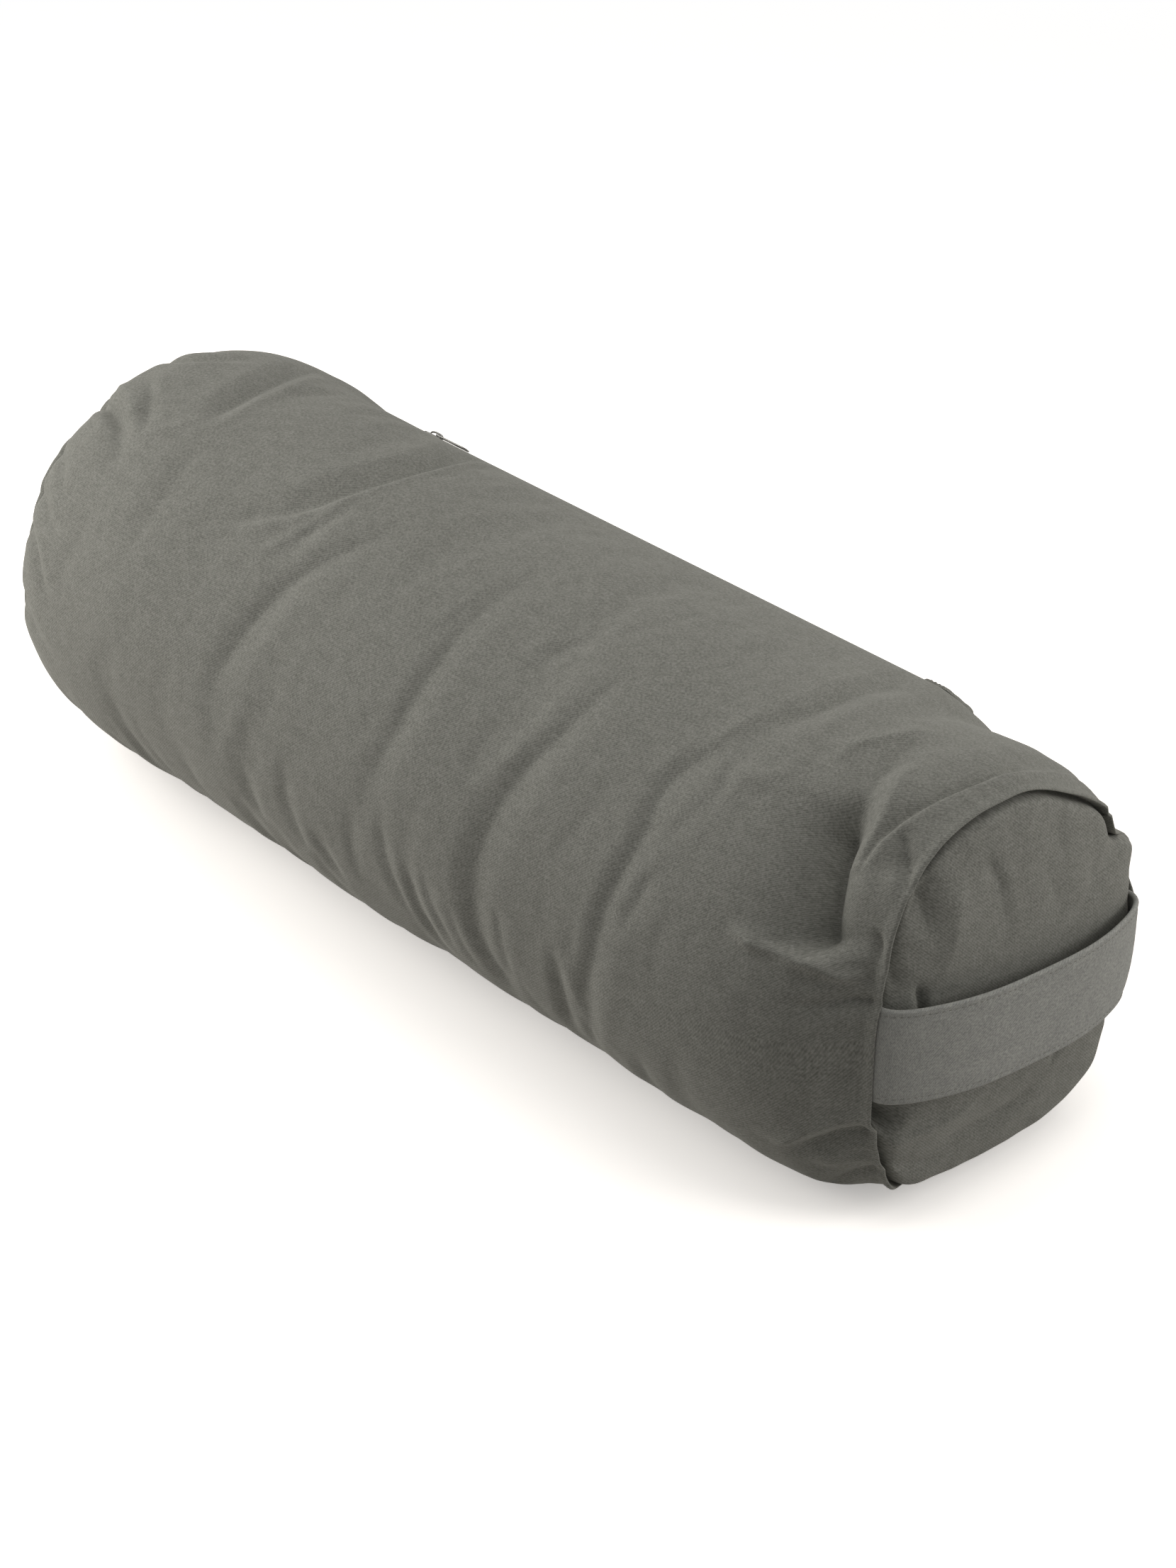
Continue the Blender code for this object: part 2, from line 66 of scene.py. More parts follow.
MM = 0.001
CLOTH_MAP = "cloth"
HANDLE_SEAM_X = 0.3222
PLAIN_SEAM_X = -0.3278
MIDDLE_X = (HANDLE_SEAM_X + PLAIN_SEAM_X) / 2
FLOOR_GAP = 0.0004
# One degree of turn is about this much cloth, where the bolster is full.
GIRTH_MM = 2.03
# At scale 1 a wave texture's bands are this far apart, in its own units.
BAND_PITCH = 0.314
DIAGONAL_PITCH = 0.444


class BolsterEnd(Enum):
    """The two round ends, by the way that each faces along X."""

    HANDLE = 1
    PLAIN = -1

    @property
    def seam_x(self) -> float:
        """Where the end's seam lies along the bolster."""
        return HANDLE_SEAM_X if self is BolsterEnd.HANDLE else PLAIN_SEAM_X


class Crease(Enum):
    """Whether a crease dips into the cloth or stands out of it."""

    VALLEY = "valley"
    RIDGE = "ridge"


def linear(hex_colour: str) -> tuple[float, float, float, float]:
    """Turns an sRGB hex colour into the linear values that the shaders take.

    Args:
        hex_colour: Six hex digits with a leading #.

    Returns:
        Linear red, green and blue, with alpha 1.
    """
    parts = [int(hex_colour[i : i + 2], 16) / 255 for i in (1, 3, 5)]
    red, green, blue = (p / 12.92 if p <= 0.04045 else ((p + 0.055) / 1.055) ** 2.4 for p in parts)
    return (red, green, blue, 1.0)


def add_node(
    tree: NodeTree,
    kind: str,
    settings: dict[str, object] | None = None,
    inputs: dict[str | int, object] | None = None,
) -> Node:
    """Adds a node with its settings, and fills its sockets with values or with links.

    Args:
        tree: The node tree that gets the node.
        kind: The node's type name in Blender.
        settings: Properties of the node by name.
        inputs: Socket names or numbers, each with a value or with the socket that feeds it.

    Returns:
        The new node.
    """
    node = tree.nodes.new(kind)
    for key, value in (settings or {}).items():
        setattr(node, key, value)
    for key, value in (inputs or {}).items():
        if isinstance(value, NodeSocket):
            tree.links.new(value, node.inputs[key])
        else:
            node.inputs[key].default_value = value
    return node


def new_material(name: str) -> tuple[Material, NodeTree]:
    """Makes an empty node material.

    Args:
        name: The material's name.

    Returns:
        The material and its node tree, which holds nothing yet.
    """
    made = bpy.data.materials.new(name)
    made.use_nodes = True
    made.node_tree.nodes.clear()
    return made, made.node_tree


def finish_material(
    made: Material,
    shade: NodeSocket,
    tones: tuple[str, str],
    height: NodeSocket,
    relief: tuple[float, float],
    rough: NodeSocket | float,
    uniform: dict[str, object],
) -> Material:
    """Ends a material in its colours, its relief and its shader.

    Args:
        made: The material.
        shade: Where its pattern is dark, at 0, and light, at 1.
        tones: The sRGB hex colours of dark and light.
        height: What stands out of it.
        relief: The relief's strength, and its height in mm.
        rough: Its roughness, as a number or a socket.
        uniform: Socket values that are the same all over.

    Returns:
        The material.
    """
    tree = made.node_tree
    mixed = {"Factor": shade, 6: linear(tones[0]), 7: linear(tones[1])}
    colour = add_node(tree, "ShaderNodeMix", {"data_type": "RGBA"}, mixed).outputs[2]
    raised = {"Height": height, "Strength": relief[0], "Distance": relief[1] * MM}
    normal = add_node(tree, "ShaderNodeBump", {}, raised).outputs["Normal"]
    inputs = {"Base Color": colour, "Normal": normal, "Roughness": rough, **uniform}
    shader = add_node(tree, "ShaderNodeBsdfPrincipled", {}, inputs)
    add_node(tree, "ShaderNodeOutputMaterial", {}, {"Surface": shader.outputs["BSDF"]})
    return made


@dataclass(frozen=True)
class CottonTwill:
    """Carded cotton twill, piece-dyed and lightly brushed: matt, with fine diagonal ribs."""

    name: str
    face: str
    hollow: str
    rib_mm: float = 1.15
    slant: float = 1.0
    rib_depth_mm: float = 0.22
    fibre_mm: float = 1.4
    fibre_share: float = 0.88
    slub_mm: float = 7.0
    slub_share: float = 0.2
    sheen: float = 0.22

    def material(self) -> Material:
        """Builds the twill.

        The real ribs are about 0.5 mm apart, which no pixel shows, so they are drawn a little
        over 1 mm apart. The brushed fibre gives the face its soft edge light and its speckle.

        Returns:
            The material, drawn on the cloth's own map in metres.
        """
        made, tree = new_material(self.name)
        cloth = add_node(tree, "ShaderNodeUVMap", {"uv_map": CLOTH_MAP}).outputs["UV"]
        tilt = {"Vector": cloth, "Scale": (1.0, self.slant, 1.0)}
        slanted = add_node(tree, "ShaderNodeMapping", {}, tilt).outputs["Vector"]
        ribs = add_node(
            tree,
            "ShaderNodeTexWave",
            {"wave_type": "BANDS", "bands_direction": "DIAGONAL", "wave_profile": "SIN"},
            {
                "Vector": slanted,
                "Scale": DIAGONAL_PITCH / (self.rib_mm * MM),
                "Distortion": 1.6,
                "Detail": 2.0,
                "Detail Scale": 0.35,
                "Detail Roughness": 0.6,
            },
        ).outputs["Color"]
        speckle = {"Vector": cloth, "Scale": 1 / (self.fibre_mm * MM), "Detail": 3.0, "Roughness": 0.75}
        fibre = add_node(tree, "ShaderNodeTexNoise", {}, speckle).outputs["Fac"]
        uneven = {"Vector": cloth, "Scale": 1 / (self.slub_mm * MM), "Detail": 4.0, "Roughness": 0.6}
        slub = add_node(tree, "ShaderNodeTexNoise", {}, uneven).outputs["Fac"]
        blend = {"data_type": "FLOAT"}
        furry = {"Factor": self.fibre_share, 2: ribs, 3: fibre}
        weave = add_node(tree, "ShaderNodeMix", blend, furry).outputs[0]
        mottled = {"Factor": self.slub_share, 2: weave, 3: slub}
        tone = add_node(tree, "ShaderNodeMix", blend, mottled).outputs[0]
        sharper = {"Value": tone, "From Min": 0.36, "From Max": 0.64}
        shade = add_node(tree, "ShaderNodeMapRange", {"clamp": True}, sharper).outputs["Result"]
        uniform = {
            "IOR": 1.45,
            "Specular IOR Level": 0.25,
            "Sheen Weight": self.sheen,
            "Sheen Roughness": 0.55,
            "Sheen Tint": linear("#c9c7bf"),
        }
        relief = (0.55, self.rib_depth_mm)
        return finish_material(made, shade, (self.hollow, self.face), weave, relief, 0.95, uniform)


@dataclass(frozen=True)
class WovenCloth:
    """Plain-woven yarn, one over and one under: sheeting, tape or thread by its pitch."""

    name: str
    face: str
    hollow: str
    yarn_mm: float
    depth_mm: float
    rough: float = 0.9
    sheen: float = 0.1
    fibre_mm: float = 1.2
    fibre_share: float = 0.4

    def material(self) -> Material:
        """Builds the weave.

        Its over-and-under shows as a fine check of lit crowns and darker gaps.

        Returns:
            The material, drawn on the cloth's own map in metres.
        """
        made, tree = new_material(self.name)
        cloth = add_node(tree, "ShaderNodeUVMap", {"uv_map": CLOTH_MAP}).outputs["UV"]
        wave = {"Vector": cloth, "Scale": BAND_PITCH / (self.yarn_mm * MM), "Distortion": 0.6, "Detail": 1.0}
        over, under = (
            add_node(
                tree, "ShaderNodeTexWave", {"wave_type": "BANDS", "bands_direction": direction}, wave
            ).outputs["Color"]
            for direction in ("X", "Y")
        )
        check = add_node(tree, "ShaderNodeMath", {"operation": "MULTIPLY"}, {0: over, 1: under}).outputs[0]
        speckle = {"Vector": cloth, "Scale": 1 / (self.fibre_mm * MM), "Detail": 3.0}
        fibre = add_node(tree, "ShaderNodeTexNoise", {}, speckle).outputs["Fac"]
        mixed = {"Factor": self.fibre_share, 2: check, 3: fibre}
        weave = add_node(tree, "ShaderNodeMix", {"data_type": "FLOAT"}, mixed).outputs[0]
        uniform = {"IOR": 1.5, "Specular IOR Level": 0.3, "Sheen Weight": self.sheen}
        relief = (0.6, self.depth_mm)
        return finish_material(made, weave, (self.hollow, self.face), weave, relief, self.rough, uniform)


@dataclass(frozen=True)
class Surface:
    """A solid, unwoven surface with grain that is read in the object's own space."""

    name: str
    face: str
    hollow: str
    grain_mm: float
    depth_mm: float
    stretch: tuple[float, float, float] = (1.0, 1.0, 1.0)
    rough: tuple[float, float] = (0.35, 0.5)
    metallic: float = 0.0
    ior: float = 1.5

    def material(self) -> Material:
        """Builds the surface from one grain, which drives colour, gloss and relief.

        Returns:
            The material.
        """
        made, tree = new_material(self.name)
        place = add_node(tree, "ShaderNodeTexCoord").outputs["Object"]
        drawn = {"Vector": place, "Scale": self.stretch}
        stretched = add_node(tree, "ShaderNodeMapping", {}, drawn).outputs["Vector"]
        speckle = {"Vector": stretched, "Scale": 1 / (self.grain_mm * MM), "Detail": 4.0}
        grain = add_node(tree, "ShaderNodeTexNoise", {}, speckle).outputs["Fac"]
        gloss = {"Value": grain, "To Min": self.rough[0], "To Max": self.rough[1]}
        rough = add_node(tree, "ShaderNodeMapRange", {}, gloss).outputs["Result"]
        uniform = {"Metallic": self.metallic, "IOR": self.ior}
        relief = (0.4, self.depth_mm)
        return finish_material(made, grain, (self.hollow, self.face), grain, relief, rough, uniform)


# The cover's cloth is matt and soft: almost all of its light is diffuse.
COVER_TWILL = CottonTwill("cotton_twill_brushed", "#93938c", "#676761")
# The handle is the same cloth folded flat and pressed, so its ribs stand a little clearer. Its tones are
# painted lighter than the cover's: painted light, where the band faces the lamps.
HANDLE_TWILL_PAINTED_LIGHTER = CottonTwill("cotton_twill_painted_lighter", "#ababa5", "#828380", slant=-1.0, sheen=0.15)
# Twisted polyester thread is smoother than the cloth that it lies on.
SEWING_THREAD = WovenCloth("polyester_thread_twisted", "#8b8a83", "#6d6c66", 0.5, 0.05, 0.7)
# Zip tape is a dense polyester weave: flat, a little darker than the cover, faintly shiny.
ZIP_TAPE = WovenCloth("polyester_tape_woven", "#6b6a66", "#4f4e4b", 0.7, 0.12, 0.75, 0.05)
# Unbleached cotton sheeting of the inner cushion shows its plain weave and its pale seeds.
SHEETING = WovenCloth("cotton_sheeting_unbleached", "#d3cab2", "#b3a98f", 1.2, 0.15)
# Loose plant fibre is a pale, clumped, open surface.
FIBRE = Surface("plant_fibre_carded", "#e2dac4", "#b9ae93", 3.0, 1.5, (1, 1, 1), (0.95, 1.0))
# A nylon monofilament coil is moulded smooth: dark, with a narrow soft highlight.
COIL = Surface("nylon_coil_drawn", "#5b5a57", "#464543", 1.5, 0.02, (1, 1, 1), (0.3, 0.42), 0, 1.53)
# Die-cast zinc, tumbled and plated in gunmetal: dark grey metal with fine wear marks.
ZINC = Surface("zinc_die_cast_plated", "#7f7e7a", "#64635f", 0.6, 0.02, (1, 4, 4), (0.25, 0.42), 1.0)


def ease(low: float, high: float, value: Array) -> Array:
    """A smooth rise from 0 at low to 1 at high.

    Args:
        low: Where the rise starts.
        high: Where it ends, above or below low.
        value: Where to read it.

    Returns:
        The rise at each value.
    """
    share = np.clip((value - low) / (high - low), 0, 1)
    return share * share * (3 - 2 * share)


def past(turn: Array, middle: float) -> Array:
    """How many degrees each turn lies past the middle one, from -180 to 180."""
    return (turn - middle + 180) % 360 - 180


def run_along(line: Array) -> Array:
    """How far along a line each of its points lies, from 0 at the first."""
    return np.concatenate([[0], np.cumsum(np.linalg.norm(np.diff(line, axis=0), axis=1))])


def through(places: Sequence[float], values: Sequence[float], at: Array) -> Array:
    """A smooth curve through a few values that never swings beyond them.

    Args:
        places: Where the values stand, rising.
        values: The values.
        at: Where to read the curve.

    Returns:
        The curve at each place of at.
    """
    x, y = np.asarray(places, float), np.asarray(values, float)
    gap = np.diff(x)
    rise = np.diff(y) / gap
    slope = np.concatenate([[rise[0]], (rise[:-1] + rise[1:]) / 2, [rise[-1]]])
    turned = np.concatenate([[False], rise[:-1] * rise[1:] <= 0, [False]])
    slope[turned] = 0
    low = np.minimum(np.abs(np.r_[rise[0], rise]), np.abs(np.r_[rise, rise[-1]]))
    slope = np.clip(slope, -3 * low, 3 * low)
    at = np.clip(at, x[0], x[-1])
    k = np.clip(np.searchsorted(x, at) - 1, 0, len(gap) - 1)
    t = (at - x[k]) / gap[k]
    a = (1 + 2 * t) * (1 - t) ** 2 * y[k] + t * t * (3 - 2 * t) * y[k + 1]
    return a + gap[k] * (t * (1 - t) ** 2 * slope[k] - t * t * (1 - t) * slope[k + 1])


@dataclass(frozen=True)
class Fold:
    """One crease or swell of the cloth, along a line on the unrolled panel.

    The path's points are millimetres, or millimetres and degrees of turn on the body. Left and
    right are how far it reaches to each side of the path, in mm. The bank is the soft rise
    beside a valley, as a share of its depth, and fade is how much of the path it takes to grow
    from nothing at its start and to die out at its end. A power near 1 makes its line sharp, and
    taper is how many times wider each side has become at the path's end.
    """

    path: tuple[tuple[float, float], ...]
    depth: float
    left: float = 5.0
    right: float = 8.0
    kind: Crease = Crease.VALLEY
    bank: float = 0.15
    fade: tuple[float, float] = (0.35, 0.35)
    power: float = 1.4
    taper: tuple[float, float] = (1.0, 1.0)

    def height(self, u: Array, v: Array, scale: float = 1.0) -> Array:
        """How far the cloth stands out because of this fold.

        Args:
            u: First coordinate of each point, in mm.
            v: Second coordinate of each point, in mm.
            scale: Millimetres in one unit of the path's second coordinate.

        Returns:
            The height of each point in mm.
        """
        corners = np.array(self.path, float) * (1, scale)
        run = np.concatenate([[0], np.cumsum(np.hypot(*np.diff(corners, axis=0).T))])
        at = np.linspace(0, run[-1], 6 * (len(corners) - 1) + 1)
        line = np.stack([through(run, corners[:, k], at) for k in (0, 1)], -1)
        room = 3.2 * max(self.left, self.right)
        low, high = line.min(axis=0) - room, line.max(axis=0) + room
        near = (u > low[0]) & (u < high[0]) & (v > low[1]) & (v < high[1])
        out = np.zeros(u.shape)
        if not near.any():
            return out
        spots = np.stack([u[near], v[near]], -1)
        best = np.full(len(spots), np.inf)
        signed, along = np.zeros(len(spots)), np.zeros(len(spots))
        for start, end, where, length in zip(line, line[1:], at, np.diff(at)):
            step = end - start
            away = spots - start
            share = np.clip(away @ step / max(step @ step, 1e-9), 0, 1)
            gap = away - share[:, None] * step
            far = np.hypot(gap[:, 0], gap[:, 1])
            closer = far < best
            best = np.where(closer, far, best)
            side = np.where(step[0] * away[:, 1] - step[1] * away[:, 0] > 0, 1.0, -1.0)
            signed = np.where(closer, far * side, signed)
            along = np.where(closer, (where + share * length) / run[-1], along)
        grown = np.where(signed > 0, *self.taper)
        signed /= 1 + (grown - 1) * along
        faded = np.ones(len(spots))
        if self.fade[0]:
            faded *= ease(0.0, self.fade[0], along)
        if self.fade[1]:
            faded *= ease(1.0, 1.0 - self.fade[1], along)
        out[near] = faded * self.across(signed)
        return out

    def across(self, signed: Array) -> Array:
        """The crease's profile.

        Args:
            signed: Distance from the line in mm, above 0 on the left of it.

        Returns:
            The height in mm.
        """
        far = np.abs(signed) / np.where(signed > 0, self.left, self.right)
        line = np.exp(-(far**self.power))
        if self.kind is Crease.RIDGE:
            return self.depth * line
        return self.depth * (self.bank * np.exp(-(((far - 2.1) / 0.9) ** 2)) - line)


@dataclass(frozen=True)
class Section:
    """The bolster's outline across its length at one place."""

    x: float
    half_width: float
    shift: float
    bottom: float
    top: float
    square: float


@dataclass(frozen=True)
class Swell:
    """A place where the outline stands out or in, at one turn of one end."""

    turn: float
    height_mm: float
    spread: float


@dataclass(frozen=True)
class ZipLine:
    """Where the zip lies: a straight line on the flat strip along the back."""

    half_width: float = 0.125
    half_height: float = 0.1088
    centre: float = 0.1012
    slope: float = 45.0
    strip_reach: float = 0.0155
    opening: float = 0.012
    half_length: float = 0.1956

    @property
    def turn(self) -> float:
        """The outline's turn at the zip, in degrees."""
        a = math.radians(self.slope)
        return math.degrees(math.atan2(self.half_height * math.sin(a), self.half_width * math.cos(a)))

    @property
    def speed(self) -> float:
        """Metres of cloth in one degree of turn beside the zip.

        Returns:
            The metres.
        """
        a = math.radians(self.turn)
        run = math.hypot(self.half_width * math.sin(a), self.half_height * math.cos(a))
        return run * math.pi / 180

    def outline(self, turn: Array) -> tuple[Array, Array]:
        """The solids' outline at the middle, flat along the zip.

        Args:
            turn: Degrees round the girth.

        Returns:
            The y and z of each point.
        """
        out_y, out_z = math.cos(math.radians(self.slope)), math.sin(math.radians(self.slope))
        a = np.radians(turn)
        y = self.half_width * np.cos(a)
        z = self.centre + self.half_height * np.sin(a)
        beyond = np.maximum(y * out_y + z * out_z - self.face, 0)
        return y - out_y * beyond, z - out_z * beyond

    def oval(self, turn: float) -> tuple[float, float]:
        """The y and z of the oval, before it is cut flat, at one turn."""
        a = math.radians(turn)
        return self.half_width * math.cos(a), self.centre + self.half_height * math.sin(a)

    @property
    def face(self) -> float:
        """How far the flat strip's face lies from the origin, square to itself."""
        edges = (self.oval(self.turn + side * self.strip_reach / self.speed) for side in (-1, 1))
        return min((y + z) * math.sqrt(0.5) for y, z in edges)

    @property
    def origin(self) -> Vector:
        """The zip's middle, on the face of the strip.

        Returns:
            The point.
        """
        y, z = self.oval(self.turn)
        root = math.sqrt(0.5)
        lift = root * (self.face - (y + z) * root)
        return Vector((MIDDLE_X, y + lift, z + lift))


ZIP_LINE = ZipLine()


def placed(name: str, data: bpy.types.ID) -> Object:
    """Puts a mesh, a curve, a lamp or a camera into the scene.

    Args:
        name: The object's name.
        data: What it shows.

    Returns:
        The object.
    """
    made = bpy.data.objects.new(name, data)
    bpy.context.scene.collection.objects.link(made)
    return made


def mapped_piece(
    name: str,
    verts: Sequence[Sequence[float]],
    faces: Sequence[Sequence[int]],
    places: Array,
    material: Material | None,
) -> Object:
    """Makes a smooth mesh piece that carries the cloth's own map.

    Args:
        name: The piece's name.
        verts: Its points, in metres.
        faces: The numbers of each face's points.
        places: The map's place of each point, in metres.
        material: The piece's material, if it is ever seen.

    Returns:
        The piece, linked to the scene.
    """
    mesh = bpy.data.meshes.new(name)
    mesh.from_pydata(verts, [], faces)
    order = np.zeros(len(mesh.loops), np.int32)
    mesh.loops.foreach_get("vertex_index", order)
    layer = mesh.uv_layers.new(name=CLOTH_MAP)
    layer.data.foreach_set("uv", places[order].reshape(-1))
    if material:
        mesh.materials.append(material)
    mesh.shade_smooth()
    return placed(name, mesh)


def grid_piece(
    name: str, points: Array, cloth: Array, material: Material | None, closed: bool = False
) -> Object:
    """Makes a mesh piece from rows of points that run along +X or outwards.

    Args:
        name: The piece's name.
        points: Rows by columns by 3, in metres.
        cloth: Rows by columns by 2, the cloth's own map in metres.
        material: The piece's material, if it is ever seen.
        closed: Whether the last column joins the first.

    Returns:
        The piece.
    """
    rows, columns = points.shape[:2]
    number = np.arange(rows * columns).reshape(rows, columns)
    following = np.roll(number, -1, axis=1) if closed else number[:, 1:]
    first = number if closed else number[:, :-1]
    corners = np.stack([first[:-1], following[:-1], following[1:], first[1:]], -1).reshape(-1, 4)
    verts = points.reshape(-1, 3).tolist()
    return mapped_piece(name, verts, corners.tolist(), cloth.reshape(-1, 2), material)


def dress(
    piece: Object, slot: str, nodes: Sequence[str], body: str | None = None
) -> None:
    """Hangs a piece on its body, hides the nodes that it stands for, and logs its slot.

    Args:
        piece: The piece.
        slot: The record's material slot.
        nodes: The nodes that it stands for.
        body: The body that it rides on, if it doesn't bend between two.
    """
    if body:
        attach(piece, body)
    if nodes:
        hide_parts(*nodes)
    LOG.info("%s: %d faces, slot %s", piece.name, len(piece.data.polygons), slot)


def join_meshes(name: str, parts: Sequence[Object]) -> Object:
    """Joins parts with their materials and maps into one piece.

    Args:
        name: The piece's name.
        parts: The parts, the first of which stays as the piece.

    Returns:
        The joined piece.
    """
    with bpy.context.temp_override(
        active_object=parts[0], selected_editable_objects=list(parts), object=parts[0]
    ):
        bpy.ops.object.join()
    parts[0].name = name
    parts[0].data.name = name
    return parts[0]


@dataclass(frozen=True)
class Shell:
    """The outline of the whole bolster, from which the cover and the cushion are drawn."""

    sections: tuple[Section, ...] = (
        Section(-0.3240, 0.0926, 0.006, 0.0072, 0.1876, 2.5),
        Section(-0.3030, 0.1103, 0.006, -0.0022, 0.2083, 2.3),
        Section(-0.2530, 0.1211, 0.003, -0.0076, 0.2155, 2.1),
        Section(-0.1530, 0.1249, 0.001, -0.0078, 0.2145, 2.0),
        Section(-0.0030, 0.1250, -0.003, -0.0075, 0.2085, 2.0),
        Section(0.1470, 0.1236, -0.002, -0.0074, 0.2065, 2.1),
        Section(0.2370, 0.1180, -0.003, -0.0074, 0.2060, 2.35),
        Section(0.2870, 0.1085, 0.002, -0.0060, 0.2080, 2.7),
        Section(0.3180, 0.0911, 0.008, 0.0064, 0.2036, 2.9),
    )
    handle_swells: tuple[Swell, ...] = (
        *(Swell(126, 7.5, 25), Swell(62, -4.0, 16), Swell(33, -5.0, 7), Swell(19, 5.5, 8)),
        *(Swell(332, -8.0, 17), Swell(168, -3.5, 20), Swell(232, 7.0, 14)),
    )
    plain_swells: tuple[Swell, ...] = (
        *(Swell(100, 2.0, 14), Swell(118, -3.0, 6), Swell(135, 2.0, 10)),
        *(Swell(165, -1.5, 8), Swell(185, 2.0, 9)),
    )
    lip_depth: float = 0.0016
    lip_length: float = 0.0018
    lip_return: float = 0.0045
    overhang: float = 0.0020
    swell_reach: float = 0.026

    def outline(self, x: Array, turn: Array) -> Array:
        """The smooth outline, without its folds.

        Args:
            x: Metres along the bolster.
            turn: Degrees round the girth, the same shape as x.

        Returns:
            The points, with a last axis of 3.
        """
        at = [s.x for s in self.sections]
        half_width, shift, bottom, top, square = (
            through(at, [getattr(s, field) for s in self.sections], x)
            for field in ("half_width", "shift", "bottom", "top", "square")
        )
        a = np.radians(turn)
        cos, sin = np.cos(a), np.sin(a)
        power = np.where(sin < 0, 2 / square, 1.0)
        half_height = (top - bottom) / 2
        y = half_width * np.sign(cos) * np.abs(cos) ** power
        z = half_height * np.sign(sin) * np.abs(sin) ** power
        radius = np.hypot(y, z)
        out = np.zeros(x.shape)
        for end, swells in ((BolsterEnd.HANDLE, self.handle_swells), (BolsterEnd.PLAIN, self.plain_swells)):
            back = (end.seam_x - x) * end.value
            fall = np.exp(-((np.maximum(back, 0) / self.swell_reach) ** 1.3))
            for swell in swells:
                near = np.exp(-((past(turn, swell.turn) / swell.spread) ** 2))
                out += swell.height_mm * MM * fall * near
        y = shift + y * (1 + out / radius)
        z = (top + bottom) / 2 + z * (1 + out / radius)
        solid_y, solid_z = ZIP_LINE.outline(turn)
        share = self.beside_zip(x, turn)
        y = y + (solid_y - y) * share
        z = z + (solid_z - z) * share
        return np.stack([x, y, self.settled(z)], -1)

    @staticmethod
    def beside_zip(x: Array, turn: Array) -> Array:
        """How much the cloth keeps to the solids' flat strip, from 0 to 1.

        Args:
            x: Metres along the bolster.
            turn: Degrees round the girth.

        Returns:
            The share at each point.
        """
        beside = np.abs(past(turn, ZIP_LINE.turn))
        return ease(30, 9.5, beside) * ease(0.250, 0.205, np.abs(x - MIDDLE_X))

    @staticmethod
    def settled(z: Array) -> Array:
        """Heights over the floor, flattened smoothly where the bolster rests on it.

        Args:
            z: Heights, which may be below 0.

        Returns:
            Heights that are nowhere below the floor.
        """
        soft = 0.009
        near = np.maximum(soft - np.abs(z), 0)
        return np.maximum(z, 0) + near * near / (4 * soft) + FLOOR_GAP

    def away(self, x: Array, turn: Array) -> Array:
        """The way out from the outline, square to it within its own section.

        Args:
            x: Metres along the bolster.
            turn: Degrees round the girth.

        Returns:
            Unit directions with no part along X.
        """
        ahead, behind = self.outline(x, turn + 0.6), self.outline(x, turn - 0.6)
        run = ahead - behind
        out = np.stack([np.zeros(x.shape), run[..., 2], -run[..., 1]], -1)
        return out / np.maximum(np.linalg.norm(out, axis=-1, keepdims=True), 1e-9)

    def rolled(self, along: Array) -> tuple[Array, Array]:
        """The roll of the cloth over each end's seam and back under itself.

        Args:
            along: Metres along the cloth, which runs past the seams.

        Returns:
            For each, its place along X and how far it has dropped, in metres.
        """
        x, drop = along.copy(), np.zeros(along.shape)
        for end in BolsterEnd:
            start = end.seam_x * end.value + self.overhang - self.lip_length
            bent = np.maximum(along * end.value - start, 0) / self.lip_length
            back = self.lip_length * np.maximum(bent - np.pi / 2, 0)
            bent = np.minimum(bent, np.pi / 2)
            out = start + self.lip_length * np.sin(bent) - back
            x = np.where(bent > 0, end.value * out, x)
            drop += self.lip_depth * (1 - np.cos(bent)) + 0.2 * back
        return x, drop

    @staticmethod
    def covered(turn: Array) -> Array:
        """How far the handle's end panel bulges over its seam, from 0 to 1.

        Args:
            turn: Degrees round the girth.

        Returns:
            The share at each turn: none on the front and top, and where the handle is sewn in.
        """
        # Turns from the back, above it and below it: -90 is the floor and 90 the top.
        beside = past(turn, 0)
        under_handle = ease(-34, -24, beside) * ease(10, 3, beside)
        return ease(-132, -116, beside) * ease(34, 25, beside) * (1 - under_handle)

    def seam(self, end: BolsterEnd, turn: Array, drop: float | Array) -> Array:
        """A line round one end, at its seam.

        Args:
            end: Which end.
            turn: Degrees round the girth.
            drop: How far the line lies inside the outline, in metres.

        Returns:
            The line's points.
        """
        x = np.full(turn.shape, end.seam_x)
        return self.outline(x, turn) - self.away(x, turn) * np.reshape(drop, (-1, 1))


SHELL = Shell()


def gathers(turn: Array, seed: int, count: int) -> Array:
    """An uneven ripple round the girth, as of cloth eased into a shorter seam.

    Args:
        turn: Degrees round the girth.
        seed: Which ripple.
        count: About how many waves go round.

    Returns:
        Heights from about -1 to 1.
    """
    rng = np.random.default_rng(seed)
    out = np.zeros(turn.shape)
    for wave in (count, count + 3, count * 2 - 3, count // 2):
        out += rng.uniform(0.25, 0.5) * np.cos(np.radians(wave * turn) + rng.uniform(0, 2 * np.pi))
    return out


def blurred(field: Array, along: float, around: float) -> Array:
    """A field softened by a bell curve, closed round its second axis.

    Args:
        field: Rows by columns.
        along: The curve's width in rows.
        around: Its width in columns.

    Returns:
        The softened field.
    """
    reach = int(3 * along)
    weight = np.exp(-0.5 * (np.arange(-reach, reach + 1) / along) ** 2)
    padded = np.pad(field, ((reach, reach), (0, 0)), mode="edge")
    out = sum(w * padded[k : k + len(field)] for k, w in enumerate(weight / weight.sum()))
    reach = int(3 * around)
    weight = np.exp(-0.5 * (np.arange(-reach, reach + 1) / around) ** 2)
    return sum(w * np.roll(out, k - reach, axis=1) for k, w in enumerate(weight / weight.sum()))


